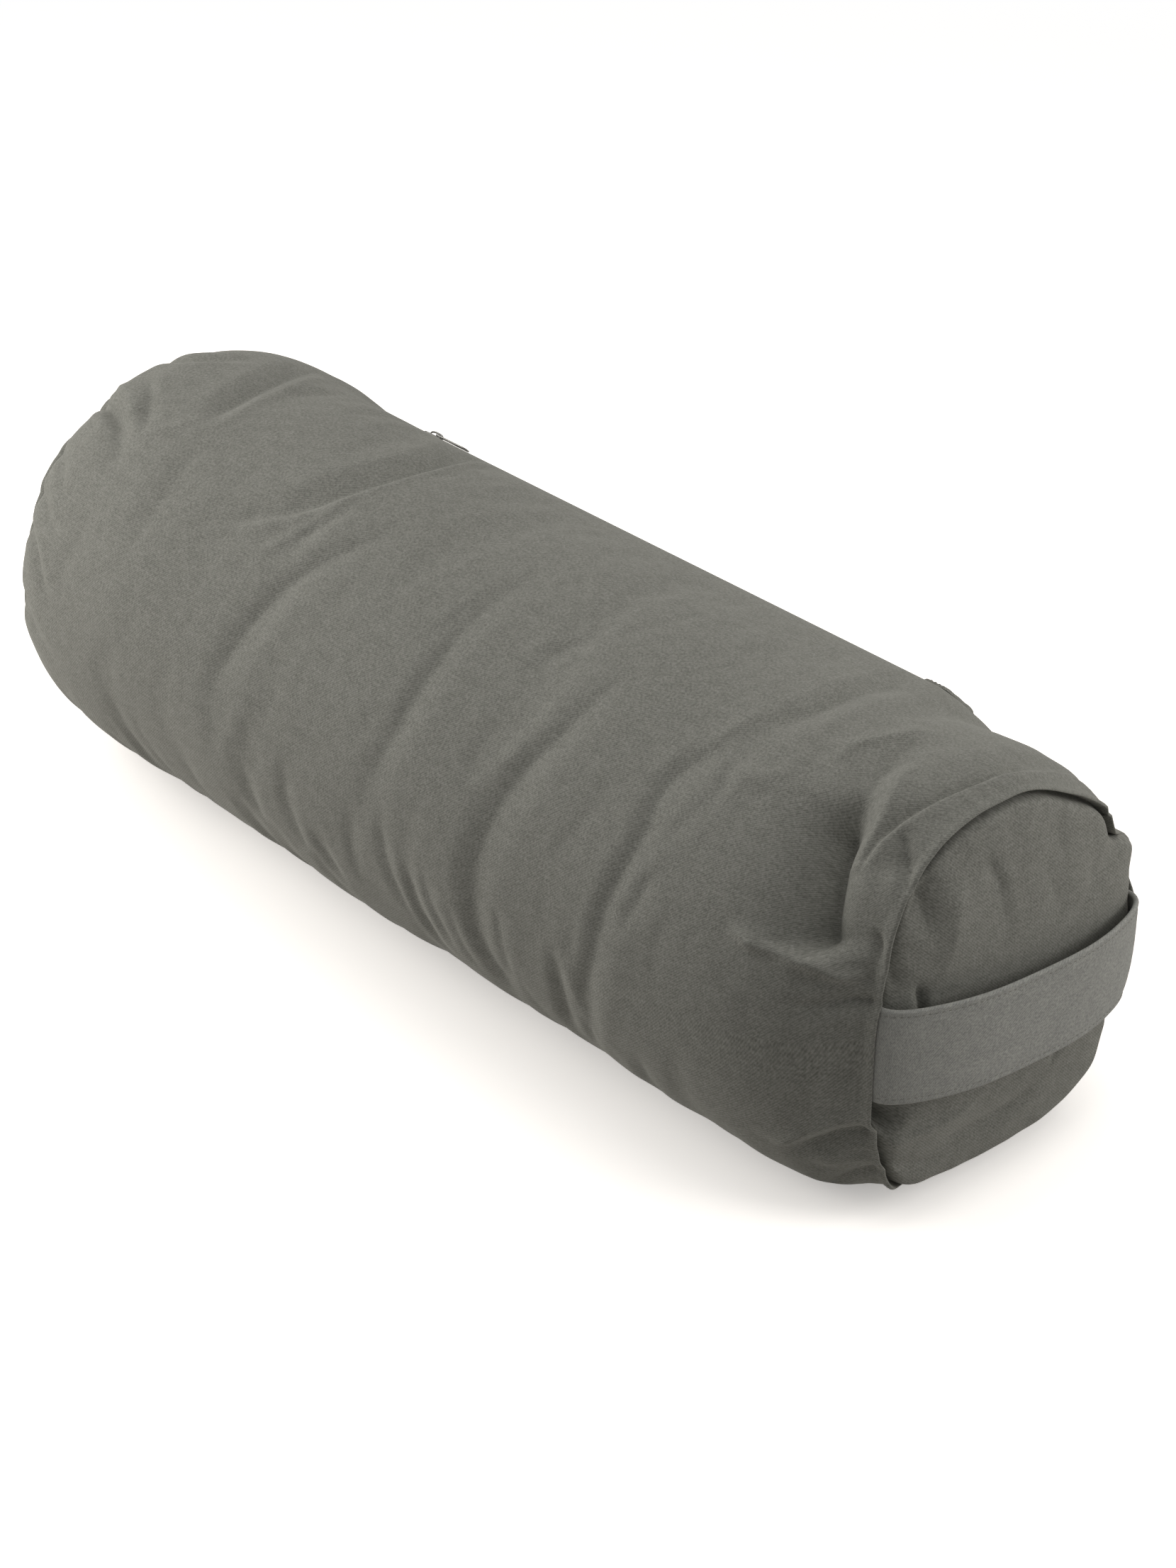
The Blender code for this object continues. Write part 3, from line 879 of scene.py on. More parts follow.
def cubic(away: Array) -> Array:
    """The share of a point this many steps away in a soft curve through points.

    Args:
        away: Steps from the point, to either side.

    Returns:
        The share, which is 0 from two steps on.
    """
    far = np.abs(away)
    near = (4 - 6 * far**2 + 3 * far**3) / 6
    return np.where(far < 1, near, np.where(far < 2, (2 - far) ** 3 / 6, 0))


@dataclass(frozen=True)
class PressedCloth:
    """A cloth simulation of the cover on its filling, which finds how slack cloth wrinkles.

    A coarse tube of cloth, a little too long for the bolster, is blown out against its sewn
    ends, its zip and the floor. What it moves beyond a smooth swelling is its wrinkles.
    """

    shell: Shell = SHELL
    rows: int = 132
    columns: int = 132
    frames: int = 20
    pressure: float = 4.0
    slack: float = 0.030
    inset: float = 0.003
    smooth_mm: float = 26.0
    cap_mm: float = 1.5
    seeded: float = 0.5

    def places(self) -> tuple[Array, Array]:
        """Where the tube's points stand.

        Returns:
            Metres along X and degrees of turn, rows by columns.
        """
        along = np.linspace(PLAIN_SEAM_X, HANDLE_SEAM_X, self.rows)
        turn = np.linspace(0, 360, self.columns, endpoint=False)
        return tuple(np.meshgrid(along, turn, indexing="ij"))

    def start(self, x: Array, turn: Array, folds: Sequence[Fold]) -> Array:
        """The tube before it is blown out, a little smaller than the outline.

        Args:
            x: Metres along X.
            turn: Degrees round the girth.
            folds: The cover's folds, which lead it to buckle along them.

        Returns:
            Its points.
        """
        # A slight unevenness decides, the same way in each run, where else it buckles.
        uneven = np.random.default_rng(17).normal(0, 0.0003, x.shape)
        for fold in folds:
            uneven += self.seeded * MM * fold.height(x / MM, turn * GIRTH_MM, GIRTH_MM)
        points = self.shell.outline(x, turn)
        points += self.shell.away(x, turn) * (uneven - self.inset)[..., None]
        return points

    def held(self, x: Array, turn: Array, points: Array) -> Array:
        """How firmly each point is held: sewn ends, the zip's strip and the floor.

        Args:
            x: Metres along X.
            turn: Degrees round the girth.
            points: The tube's points.

        Returns:
            Weights from 0 to 1.
        """
        sewn = ease(0.006, 0.0, np.minimum(HANDLE_SEAM_X - x, x - PLAIN_SEAM_X))
        floor = ease(0.012, 0.004, points[..., 2])
        return np.maximum.reduce([sewn, floor, self.shell.beside_zip(x, turn)])

    def blown(self, points: Array, held: Array) -> Array:
        """Runs the simulation and takes its last frame.

        Args:
            points: The tube's points at the start.
            held: How firmly each is held.

        Returns:
            The points at the end.
        """
        cloth = points[..., :2]
        tube_piece = grid_piece("cloth_trial", points, cloth, None, closed=True)
        group = tube_piece.vertex_groups.new(name="held")
        for number, weight in enumerate(held.reshape(-1).tolist()):
            if weight > 0:
                group.add([number], weight, "REPLACE")
        modifier = tube_piece.modifiers.new("cloth", "CLOTH")
        modifier.point_cache.frame_start = 1
        modifier.point_cache.frame_end = self.frames
        how = modifier.settings
        how.quality = 6
        how.mass = 0.3
        how.tension_stiffness = how.compression_stiffness = 12
        how.shear_stiffness = 4
        how.bending_stiffness = 0.3
        how.air_damping = 2.0
        how.shrink_min = -self.slack
        how.use_pressure = True
        how.uniform_pressure_force = self.pressure
        how.vertex_group_mass = group.name
        how.effector_weights.gravity = 0
        scene = bpy.context.scene
        for number in range(1, self.frames + 1):
            scene.frame_set(number)
        done = tube_piece.evaluated_get(bpy.context.evaluated_depsgraph_get())
        flat = np.empty(points.size, np.float32)
        done.data.vertices.foreach_get("co", flat)
        scene.frame_set(1)
        mesh = tube_piece.data
        bpy.data.objects.remove(tube_piece)
        bpy.data.meshes.remove(mesh)
        return flat.reshape(points.shape).astype(float)

    def wrinkles(self, folds: Sequence[Fold]) -> Array:
        """Runs the whole trial.

        Args:
            folds: The cover's folds.

        Returns:
            How far each point stands out or in, in mm, beyond the smooth swelling.
        """
        x, turn = self.places()
        points = self.start(x, turn, folds)
        held = self.held(x, turn, points)
        moved = self.blown(points, held) - points
        out = np.einsum("ijk,ijk->ij", moved, self.shell.away(x, turn)) / MM
        step = (HANDLE_SEAM_X - PLAIN_SEAM_X) / (self.rows - 1) / MM
        round_step = 360 / self.columns * GIRTH_MM
        fine = out - blurred(out, self.smooth_mm / step, self.smooth_mm / round_step)
        free = blurred(1 - held, 9 / step, 9 / round_step)
        fine *= ease(0.6, 0.98, free)
        LOG.info("cloth trial: moved %.1f mm, wrinkles %.2f mm", np.abs(out).max(), fine.std())
        return self.cap_mm * np.tanh(fine / self.cap_mm)

    @staticmethod
    def sampled(field: Array, x: Array, turn: Array) -> Array:
        """Reads a field of the tube's points at other places.

        Args:
            field: A value at each of the tube's points, rows by columns.
            x: Metres along X.
            turn: Degrees round the girth.

        Returns:
            The value at each place, smoothly between the points.
        """
        rows, columns = field.shape
        row = np.clip((x - PLAIN_SEAM_X) / (HANDLE_SEAM_X - PLAIN_SEAM_X), 0, 1) * (rows - 1)
        column = (turn % 360) / 360 * columns
        low_row, low_column = np.floor(row).astype(int), np.floor(column).astype(int)
        out = np.zeros(x.shape)
        for i in range(-1, 3):
            at_row = np.clip(low_row + i, 0, rows - 1)
            share = cubic(row - low_row - i)
            for j in range(-1, 3):
                beside = cubic(column - low_column - j)
                out += share * beside * field[at_row, (low_column + j) % columns]
        return out


# The long folds that hang from the top and curve down the front, seen from the handle's end.
LONG_FOLDS = (
    Fold(((22, 84), (20, 104), (20, 116), (24, 131), (24, 145), (21, 158), (12, 176)), 1.9),
    Fold(((14, 106), (11, 118), (9, 129)), 0.8, 3.0, 5.0),
    Fold(((85, 102), (76, 112), (67, 122)), 0.9, 4.0, 6.0),
    Fold(
        ((121, 104), (118, 118), (114, 131), (108, 139), (103, 150))
        + ((100, 161), (98, 174), (98, 188), (104, 199), (112, 213)),
        *(2.2, 5.5, 9.0),
        fade=(0.22, 0.1),
    ),
    Fold(((115, 172), (117, 184), (118, 194), (115, 207)), 1.4, 4.0, 5.0),
    Fold(
        ((193, 108), (187, 121), (184, 130), (189, 142), (187, 154))
        + ((184, 165), (182, 177), (172, 192), (158, 208)),
        *(2.4, 4.5, 8.0),
        fade=(0.12, 0.3),
    ),
    Fold(((189, 45), (209, 75), (209, 92), (203, 103), (196, 112)), 2.8, 7.0, 7.0, fade=(0, 0.3)),
    Fold(((197, 97), (192, 105), (190, 112), (186, 120), (178, 127)), 1.5, 6.0, 3.2, Crease.RIDGE),
    Fold(((208, 145), (204, 152), (201, 159), (196, 168)), 1.7, 4.0, 6.0),
    Fold(((204, 112), (209, 121), (216, 131)), 1.0, 4.0, 5.0),
    Fold(((210, 128), (206, 136), (203, 143)), 0.8, 4.0, 5.0),
    Fold(
        ((-60, 96), (-68, 111), (-80, 122), (-90, 131), (-98, 142), (-105, 154), (-111, 165), (-117, 176)),
        2.3,
    ),
)
# The strongest crease lies across the far half, with smaller ones that branch off below it.
FAR_FOLDS = (
    Fold(
        ((-128, 42), (-121, 53), (-114, 64), (-103, 82), (-104, 93), (-109, 102))
        + ((-116, 110), (-123, 115), (-134, 120), (-155, 127), (-173, 133), (-190, 140)),
        *(3.2, 9.0, 3.2),
        bank=0.3,
        fade=(0.12, 0.5),
    ),
    Fold(((-117, 46), (-97, 68), (-91, 82)), 1.7, 8.0, 10.0, fade=(0, 0.5)),
    Fold(((-95, 105), (-100, 113), (-105, 119), (-113, 125)), 1.5, 3.0, 4.0, bank=0.25),
    Fold(((-103, 114), (-113, 124), (-125, 132)), 0.8, 3.0, 3.0, Crease.RIDGE),
    Fold(((-256, 56), (-246, 68), (-233, 83), (-228, 95), (-226, 103), (-238, 113)), 3.2, 8.0, 5.0, bank=0.3),
    Fold(((-221, 101), (-236, 112), (-252, 119)), 1.2, 4.0, 4.0, Crease.RIDGE),
    Fold(((-214, 110), (-206, 123), (-203, 136), (-204, 148)), 1.7, 9.0, 12.0),
    # The tuck at the top of the plain end, with the folds that run into it.
    Fold(((-328, 115), (-311, 116), (-290, 118), (-268, 121), (-254, 124)), 4.8, 4.0, 3.2, fade=(0, 0.5)),
    Fold(
        ((-328, 109), (-311, 109), (-293, 111), (-269, 116), (-251, 120)),
        *(2.0, 4.0, 4.0, Crease.RIDGE),
        fade=(0, 0.4),
    ),
    Fold(((-300, 103), (-277, 108), (-262, 114), (-247, 121)), 1.7, 3.5, 4.0),
    Fold(((-296, 118), (-272, 122), (-256, 127), (-245, 133)), 2.2, 7.0, 8.0),
    # Gathers that the plain end's seam draws in.
    Fold(((-328, 149), (-304, 149), (-296, 150), (-280, 154), (-262, 158)), 2.8, 5.0, 4.0, fade=(0, 0.5)),
    Fold(((-328, 159), (-306, 160), (-294, 162), (-279, 168), (-256, 178)), 2.8, 4.5, 4.0, fade=(0, 0.5)),
    Fold(((-328, 134), (-299, 137), (-283, 143), (-268, 148)), 1.8, 4.0, 4.0, fade=(0, 0.5)),
    Fold(((-328, 179), (-310, 181), (-295, 183), (-277, 188), (-250, 192)), 2.2, 5.0, 5.0, fade=(0, 0.5)),
    Fold(((-328, 96), (-310, 93), (-291, 90), (-278, 84), (-260, 74)), 2.4, 4.0, 5.0, fade=(0, 0.4)),
    Fold(((-328, 82), (-306, 80), (-290, 76)), 2.0, 4.0, 4.0, fade=(0, 0.5)),
)
# Creases low on the front, where the cloth buckles towards the floor.
LOW_FOLDS = (
    Fold(((157, 177), (157, 189), (155, 200), (146, 216)), 2.1, 4.0, 6.0),
    Fold(((29, 163), (31, 177), (34, 186), (40, 197), (45, 207)), 1.4, 4.0, 5.0),
    Fold(((49, 178), (50, 187), (52, 196), (56, 212)), 1.8, 3.5, 5.0),
    Fold(((64, 175), (66, 189), (71, 196), (75, 207)), 1.2, 3.5, 5.0),
    Fold(((12, 171), (6, 182), (5, 190), (9, 202)), 1.0, 4.0, 5.0),
    Fold(((-47, 170), (-47, 183), (-42, 192), (-35, 205)), 1.1, 4.0, 5.0),
    Fold(((-35, 186), (-24, 194), (-11, 207)), 1.1, 4.0, 5.0),
    Fold(((-84, 178), (-80, 192), (-72, 206)), 1.0, 4.0, 5.0),
    Fold(((82, 184), (84, 196), (88, 210)), 1.1, 4.0, 5.0),
    Fold(((177, 184), (173, 199), (161, 218)), 1.4, 4.0, 6.0),
    Fold(((208, 196), (204, 210), (196, 224)), 1.2, 5.0, 6.0),
)
# The pocket beside the handle's end, and the thick lip that the cloth makes over the seam.
NEAR_FOLDS = (
    Fold(((198, 122), (213, 119), (233, 115), (249, 109)), 1.7, 9.0, 9.0, Crease.RIDGE),
    Fold(((240, 109), (247, 102), (246, 98), (250, 93), (257, 85), (266, 76)), 1.6, 3.2, 7.0, Crease.RIDGE),
    Fold(((260, 84), (265, 94), (271, 104), (277, 114), (283, 124)), 3.4, 9.0, 6.0, bank=0.0),
    # The pocket itself, far deeper than any other fold and wider towards its foot.
    Fold(
        ((271, 108), (275, 118), (279, 128), (283, 136))
        + ((286, 142), (289, 148), (291.5, 153.5), (293.5, 158.5)),
        *(25.0, 16.0, 7.5),
        bank=0.0,
        fade=(0.3, 0.15),
        power=1.12,
        taper=(0.7, 1.8),
    ),
    Fold(
        ((294, 132), (292, 125), (290, 116), (284, 105), (279, 96), (275, 88)),
        *(2.8, 5.0, 8.0, Crease.RIDGE),
        fade=(0.06, 0.5),
    ),
    Fold(((318, 126), (319, 136), (319, 146), (318, 154)), 2.5, 14.0, 4.0, Crease.RIDGE, fade=(0.3, 0.3)),
    Fold(
        ((294, 133), (296, 124), (298, 117), (301, 111), (305, 104), (307, 94), (308, 82), (307, 68)),
        *(2.8, 2.2, 4.0),
        bank=0.0,
        fade=(0.08, 0.4),
    ),
    Fold(
        ((297, 131), (301, 121), (306, 112), (310, 103), (313, 92), (314, 80), (313, 68), (312, 56)),
        *(2.8, 8.0, 3.0, Crease.RIDGE),
        fade=(0.1, 0.3),
    ),
    Fold(((301, 117), (309, 124), (322, 134)), 4.0, 3.0, 3.5, fade=(0.3, 0)),
    Fold(((313, 146), (318, 151), (323, 157)), 2.2, 2.5, 2.5, fade=(0.3, 0)),
    # The ledge under the pocket, where the lip turns flat.
    Fold(
        ((252, 152), (268, 155.5), (282, 156), (292, 157), (302, 159), (309, 160.5), (317, 160)),
        *(6.5, 3.0, 4.5, Crease.RIDGE),
        fade=(0.3, 0.12),
        power=1.3,
    ),
    # The doubled roll behind the ear at the back.
    Fold(((315, 76), (312, 62), (312, 48), (315, 36)), 2.0, 5.0, 5.0, Crease.RIDGE),
    Fold(((288, 170), (300, 168.5), (311, 167), (323, 167)), 3.5, 5.0, 3.0, fade=(0.4, 0), power=1.2),
    # Below the handle's sewn end.
    Fold(
        ((280, 210), (290, 205), (301, 200), (311, 197.5), (323, 197)),
        *(2.2, 1.8, 8.0, Crease.RIDGE),
        fade=(0.3, 0),
    ),
    Fold(
        ((286, 211), (298, 206), (310, 202.5), (323, 201.5)),
        *(5.5, 6.0, 3.2),
        bank=0.3,
        fade=(0.4, 0),
        power=1.2,
    ),
    Fold(((292, 234), (304, 225), (314, 220.5), (323, 219)), 2.5, 3.0, 3.0, fade=(0.4, 0)),
    Fold(((296, 217), (308, 214), (323, 214)), 3.0, 7.0, 7.0, Crease.RIDGE, fade=(0.4, 0)),
)
# How far the long folds lean, in mm along X for each degree, at some turns round the girth.
LEAN_TURNS = (60, 100, 130, 150, 175, 195, 230, 300, 385)
LEANS = (-0.3, -0.9, -0.7, -0.4, 0, 0.3, 0.3, -0.4, 0.3)


def slack_lines(count: int, seed: int) -> tuple[Fold, ...]:
    """Short faint lines all round the cloth, each along the way that the long folds hang.

    Args:
        count: How many there are.
        seed: Which set of them.

    Returns:
        The lines.
    """
    rng = np.random.default_rng(seed)
    made = []
    for _ in range(count):
        x, turn = rng.uniform(-300, 275), rng.uniform(62, 385)
        lean = float(np.interp(turn, LEAN_TURNS, LEANS)) + rng.normal(0, 0.22)
        half = rng.uniform(6, 17)
        bend = rng.normal(0, 1.6)
        path = ((x - lean * half, turn - half), (x + bend, turn), (x + lean * half, turn + half))
        width = rng.uniform(2.6, 6.0)
        made.append(Fold(path, rng.uniform(0.25, 0.75) * width / 4, width, width * 1.5))
    return tuple(made)


@dataclass(frozen=True)
class CoverBody:
    """The twill panel that is wrapped round the cushion and closed by the zip."""

    shell: Shell = SHELL
    columns: int = 238
    folds: tuple[Fold, ...] = (*LONG_FOLDS, *FAR_FOLDS, *LOW_FOLDS, *NEAR_FOLDS, *slack_lines(90, 8))
    wrinkles: Array | None = None
    behind_panel: float = 0.006
    behind_reach: float = 0.028
    handle_gather_mm: float = 1.1
    handle_gather_reach: float = 0.013
    plain_gather_mm: float = 2.0
    plain_gather_reach: float = 0.017
    sewn_depth: float = 0.0014
    sewn_half: float = 0.0022

    def rows(self) -> Array:
        """Places of the rows along the cloth, close together where it rolls into a seam.

        Returns:
            Metres along the cloth, rising, which run past the seams.
        """
        shell = self.shell
        roll = np.linspace(0, np.pi / 2 * shell.lip_length + shell.lip_return, 15)
        start = PLAIN_SEAM_X - shell.overhang + shell.lip_length
        end = HANDLE_SEAM_X + shell.overhang - shell.lip_length
        at = np.linspace(start, end, 400)
        pace = through([start, -0.27, -0.22, 0.2, 0.25, end], [1.3, 1.4, 1.9, 1.7, 1.15, 1.1], at)
        run = np.concatenate([[0], np.cumsum(1 / pace[:-1])])
        count = int(run[-1] * (end - start) / 399 / MM)
        middle = np.interp(np.linspace(0, run[-1], count), run, at)
        return np.concatenate([start - roll[:0:-1], middle, end + roll[1:]])

    def turns(self) -> Array:
        """Turns of the columns from one edge of the long seam to the other.

        Returns:
            Degrees, rising, closest together on the front.
        """
        at = np.linspace(ZIP_LINE.turn, ZIP_LINE.turn + 360, 721)
        known = [0, 40, 75, 100, 190, 240, 280, 360, 402]
        pace = through(known, [2.2, 2.2, 1.5, 1.0, 1.05, 1.9, 3.2, 2.8, 2.2], at)
        run = np.concatenate([[0], np.cumsum(1 / pace[:-1])])
        return np.interp(np.linspace(0, run[-1], self.columns), run, at)

    def height(self, x: Array, turn: Array) -> Array:
        """How far the folded cloth stands out from the smooth outline.

        Args:
            x: Metres along the bolster.
            turn: Degrees round the girth.

        Returns:
            Metres at each point.
        """
        u, v = x / MM, turn * GIRTH_MM
        out = np.zeros(x.shape)
        for fold in self.folds:
            out += fold.height(u, v, GIRTH_MM)
        from_handle, from_plain = HANDLE_SEAM_X - x, x - PLAIN_SEAM_X
        near_handle = np.exp(-from_handle / self.handle_gather_reach)
        near_plain = np.exp(-from_plain / self.plain_gather_reach)
        out += self.handle_gather_mm * gathers(turn, 5, 13) * near_handle
        out += self.plain_gather_mm * gathers(turn, 11, 14) * near_plain
        out += self.drift(x, turn)
        if self.wrinkles is not None:
            front = ease(55, 75, turn) * ease(250, 225, turn)
            out += (0.9 - 0.4 * front) * PressedCloth.sampled(self.wrinkles, x, turn)
        rolled = ease(0, 0.006, np.minimum(from_handle, from_plain))
        flat = 1 - self.shell.beside_zip(x, turn)
        return out * MM * (0.35 + 0.65 * rolled) * flat

    @staticmethod
    def drift(x: Array, turn: Array) -> Array:
        """Slow swells of the filling under the cloth.

        Args:
            x: Metres along the bolster.
            turn: Degrees round the girth.

        Returns:
            Heights of about -1 to 1.
        """
        rng = np.random.default_rng(3)
        out = np.zeros(x.shape)
        for _ in range(9):
            length = rng.uniform(0.09, 0.25)
            round_turns = rng.integers(1, 6)
            lean = rng.uniform(-1, 1)
            phase = rng.uniform(0, 2 * np.pi)
            out += np.cos(2 * np.pi * x / length + np.radians(round_turns * turn) * np.sign(lean) + phase)
        return out / 4.5

    def build(self, twill: Material) -> None:
        """Builds the panel with its zip opening.

        Args:
            twill: The cover's cloth.
        """
        along, base = np.meshgrid(self.rows(), self.turns(), indexing="ij")
        x, drop = self.shell.rolled(along)
        inner = np.clip(along, PLAIN_SEAM_X, HANDLE_SEAM_X)
        half = ZIP_LINE.opening / 2 / ZIP_LINE.speed
        beyond = np.abs(x - MIDDLE_X) - ZIP_LINE.half_length
        spread = half * ease(0.003, -0.001, beyond)
        upper = base - ZIP_LINE.turn
        lower = ZIP_LINE.turn + 360 - base
        turn = base + spread * (np.clip(1 - upper / 14, 0, 1) - np.clip(1 - lower / 14, 0, 1))
        away = self.shell.away(inner, turn)
        height = self.height(inner, turn)
        # Beyond the zip's ends the same two edges meet in a plain sewn seam.
        beside = np.minimum(upper, lower) * ZIP_LINE.speed
        height -= self.sewn_depth * ease(0.006, 0.016, beyond) * np.exp(-((beside / self.sewn_half) ** 2))
        points = self.shell.outline(inner, turn) + away * (height - drop)[..., None]
        behind = self.shell.covered(turn) * ease(self.behind_reach, 0, HANDLE_SEAM_X - along)
        points[..., 0] = x - self.behind_panel * behind
        points[..., 2] = np.maximum(points[..., 2], FLOOR_GAP)
        points, turn = self.hemmed(points, turn, away, spread / half)
        points = np.concatenate([self.tucked(points[:1], 1), points, self.tucked(points[-1:], -1)])
        turn = np.concatenate([turn[:1], turn, turn[-1:]])
        run = np.concatenate([along[:1, :1], along[:, :1], along[-1:, :1]])
        cloth = np.stack(np.broadcast_arrays(run, turn * GIRTH_MM * MM), -1)
        piece = grid_piece("cover_body", points, cloth, twill)
        dress(piece, "cover_twill", ["cover_body_panel"], "cover")

    @staticmethod
    def hemmed(points: Array, turn: Array, away: Array, opened: Array) -> tuple[Array, Array]:
        """Folds the cloth's two long edges under, as at a zip.

        Args:
            points: The panel's points.
            turn: Their turns.
            away: Their ways out.
            opened: How open the slit is at each point, from 0 to 1.

        Returns:
            The points and turns with three more columns at each edge.
        """
        # Metres down from the face and metres towards the slit, from the edge to the hem's end.
        roll = ((0.0005, 0.0004), (0.0010, 0.0), (0.0011, -0.0035))
        sides = []
        for column, side in ((0, -1), (-1, 1)):
            slit = np.cross((1.0, 0.0, 0.0), away[:, column]) * side * opened[:, column, None]
            hem = [points[:, column] - away[:, column] * down + slit * to for down, to in roll]
            sides.append(np.stack(hem[::side], 1))
        turns = [turn[:, :1] - (1.5, 1.0, 0.5), turn[:, -1:] + (0.5, 1.0, 1.5)]
        return (
            np.concatenate([sides[0], points, sides[1]], axis=1),
            np.concatenate([turns[0], turn, turns[1]], axis=1),
        )

    @staticmethod
    def tucked(row: Array, inward: int) -> Array:
        """One more row, turned back inside the seam.

        Args:
            row: The row at the seam.
            inward: Which way along X is inwards.

        Returns:
            The row, smaller and further in.
        """
        size, depth = 0.972, 0.010
        centre = row.mean(axis=1, keepdims=True)
        inner = centre + (row - centre) * size
        inner[..., 0] = row[..., 0] + inward * depth
        return inner


@dataclass(frozen=True)
class RoundPanel:
    """The round twill panel that closes one end."""

    end: BolsterEnd
    node: str
    bulge: float
    crown: float
    folds: tuple[Fold, ...]
    moats: tuple[Swell, ...] = ()
    inset: float = 0.0044
    covered_gain: float = 0.0032
    edge_rise: float = 0.0056
    edge_round: float = 0.0009
    edge_drop: float = 0.0038
    gather_mm: float = 0.9
    gather_reach: float = 0.012
    moat_reach: float = 0.009
    skirt: float = 0.003
    skirt_share: float = 1.02
    skirt_drawn_in: float = 0.045
    shell: Shell = SHELL
    columns: int = 288
    loops: int = 86

    def build(self, twill: Material) -> None:
        """Builds the panel from its seam to its middle.

        Args:
            twill: The cover's cloth.
        """
        share = 1 - np.linspace(0, 1, self.loops) ** 1.35
        turn = np.linspace(0, 360, self.columns, endpoint=False)
        points = self.surface(turn, share)
        centre = points[:1].mean(axis=1, keepdims=True)
        if self.end is BolsterEnd.HANDLE:
            size = self.skirt_share - self.skirt_drawn_in * self.shell.covered(turn)
            behind = centre + (points[:1] - centre) * size[:, None]
            behind[..., 0] = points[:1, :, 0] - self.skirt
        else:
            # The plain end's rim closes the groove against the cover's rolled lip.
            rim = np.where(turn < ZIP_LINE.turn, turn + 360, turn)
            height = CoverBody().height(np.full(turn.shape, self.end.seam_x), rim)
            behind = self.shell.seam(self.end, turn, self.shell.lip_depth + 0.0004 - height)[None]
            behind[..., 0] += self.skirt
        points = np.concatenate([behind, points])
        cloth = points[..., 1:].copy()
        cloth[0] *= self.skirt_share
        if self.end is BolsterEnd.PLAIN:
            points, cloth = points[::-1], cloth[::-1]
        name = f"cover_{self.end.name.lower()}_end"
        piece = grid_piece(name, points, cloth, twill, closed=True)
        dress(piece, "cover_twill", [self.node], "cover")

    def surface(self, turn: Array, share: Array) -> Array:
        """The panel's points, loop by loop from the seam.

        Args:
            turn: Degrees round the girth.
            share: Each loop's size against the seam's.

        Returns:
            Loops by turns by 3.
        """
        inset = self.inset - self.covered_gain * self.shell.covered(turn) * (self.end is BolsterEnd.HANDLE)
        seam = self.shell.seam(self.end, turn, inset)[:, 1:]
        centre = (seam.min(axis=0) + seam.max(axis=0)) / 2
        share = np.maximum(share, 0.004)[:, None]
        flat = centre + (seam[None] - centre) * share[..., None]
        inside = (1 - share) * np.hypot(*(seam - centre).T)[None]
        out = self.out(flat, inside, share)
        return np.concatenate([(self.end.seam_x + self.end.value * out)[..., None], flat], -1)

    def out(self, flat: Array, inside: Array, share: Array) -> Array:
        """How far the panel stands out from the seam.

        Args:
            flat: The y and z of each point.
            inside: Each point's distance from the seam.
            share: Each loop's size against the seam's.

        Returns:
            Metres out along the end's own way.
        """
        angle = np.degrees(np.arctan2(flat[..., 1] - 0.105, flat[..., 0]))
        edge = self.edge_rise * (1 - np.exp(-inside / self.edge_round)) - self.edge_drop
        dome = self.crown * np.sqrt(np.maximum(1 - share**2, 0)) + (1 - self.crown) * (1 - share**2)
        out = edge + (self.bulge - 0.003) * dome
        u, v = flat[..., 0] / MM, flat[..., 1] / MM
        height = sum((fold.height(u, v) for fold in self.folds), np.zeros(out.shape))
        near_seam = np.exp(-inside / self.gather_reach)
        height += self.gather_mm * gathers(angle, 21 + self.end.value, 17) * near_seam
        out += height * MM * ease(0, 0.005, inside)
        for moat in self.moats:
            near = np.exp(-((past(angle, moat.turn) / moat.spread) ** 2))
            out -= moat.height_mm * MM * near * np.exp(-inside / self.moat_reach)
        return out


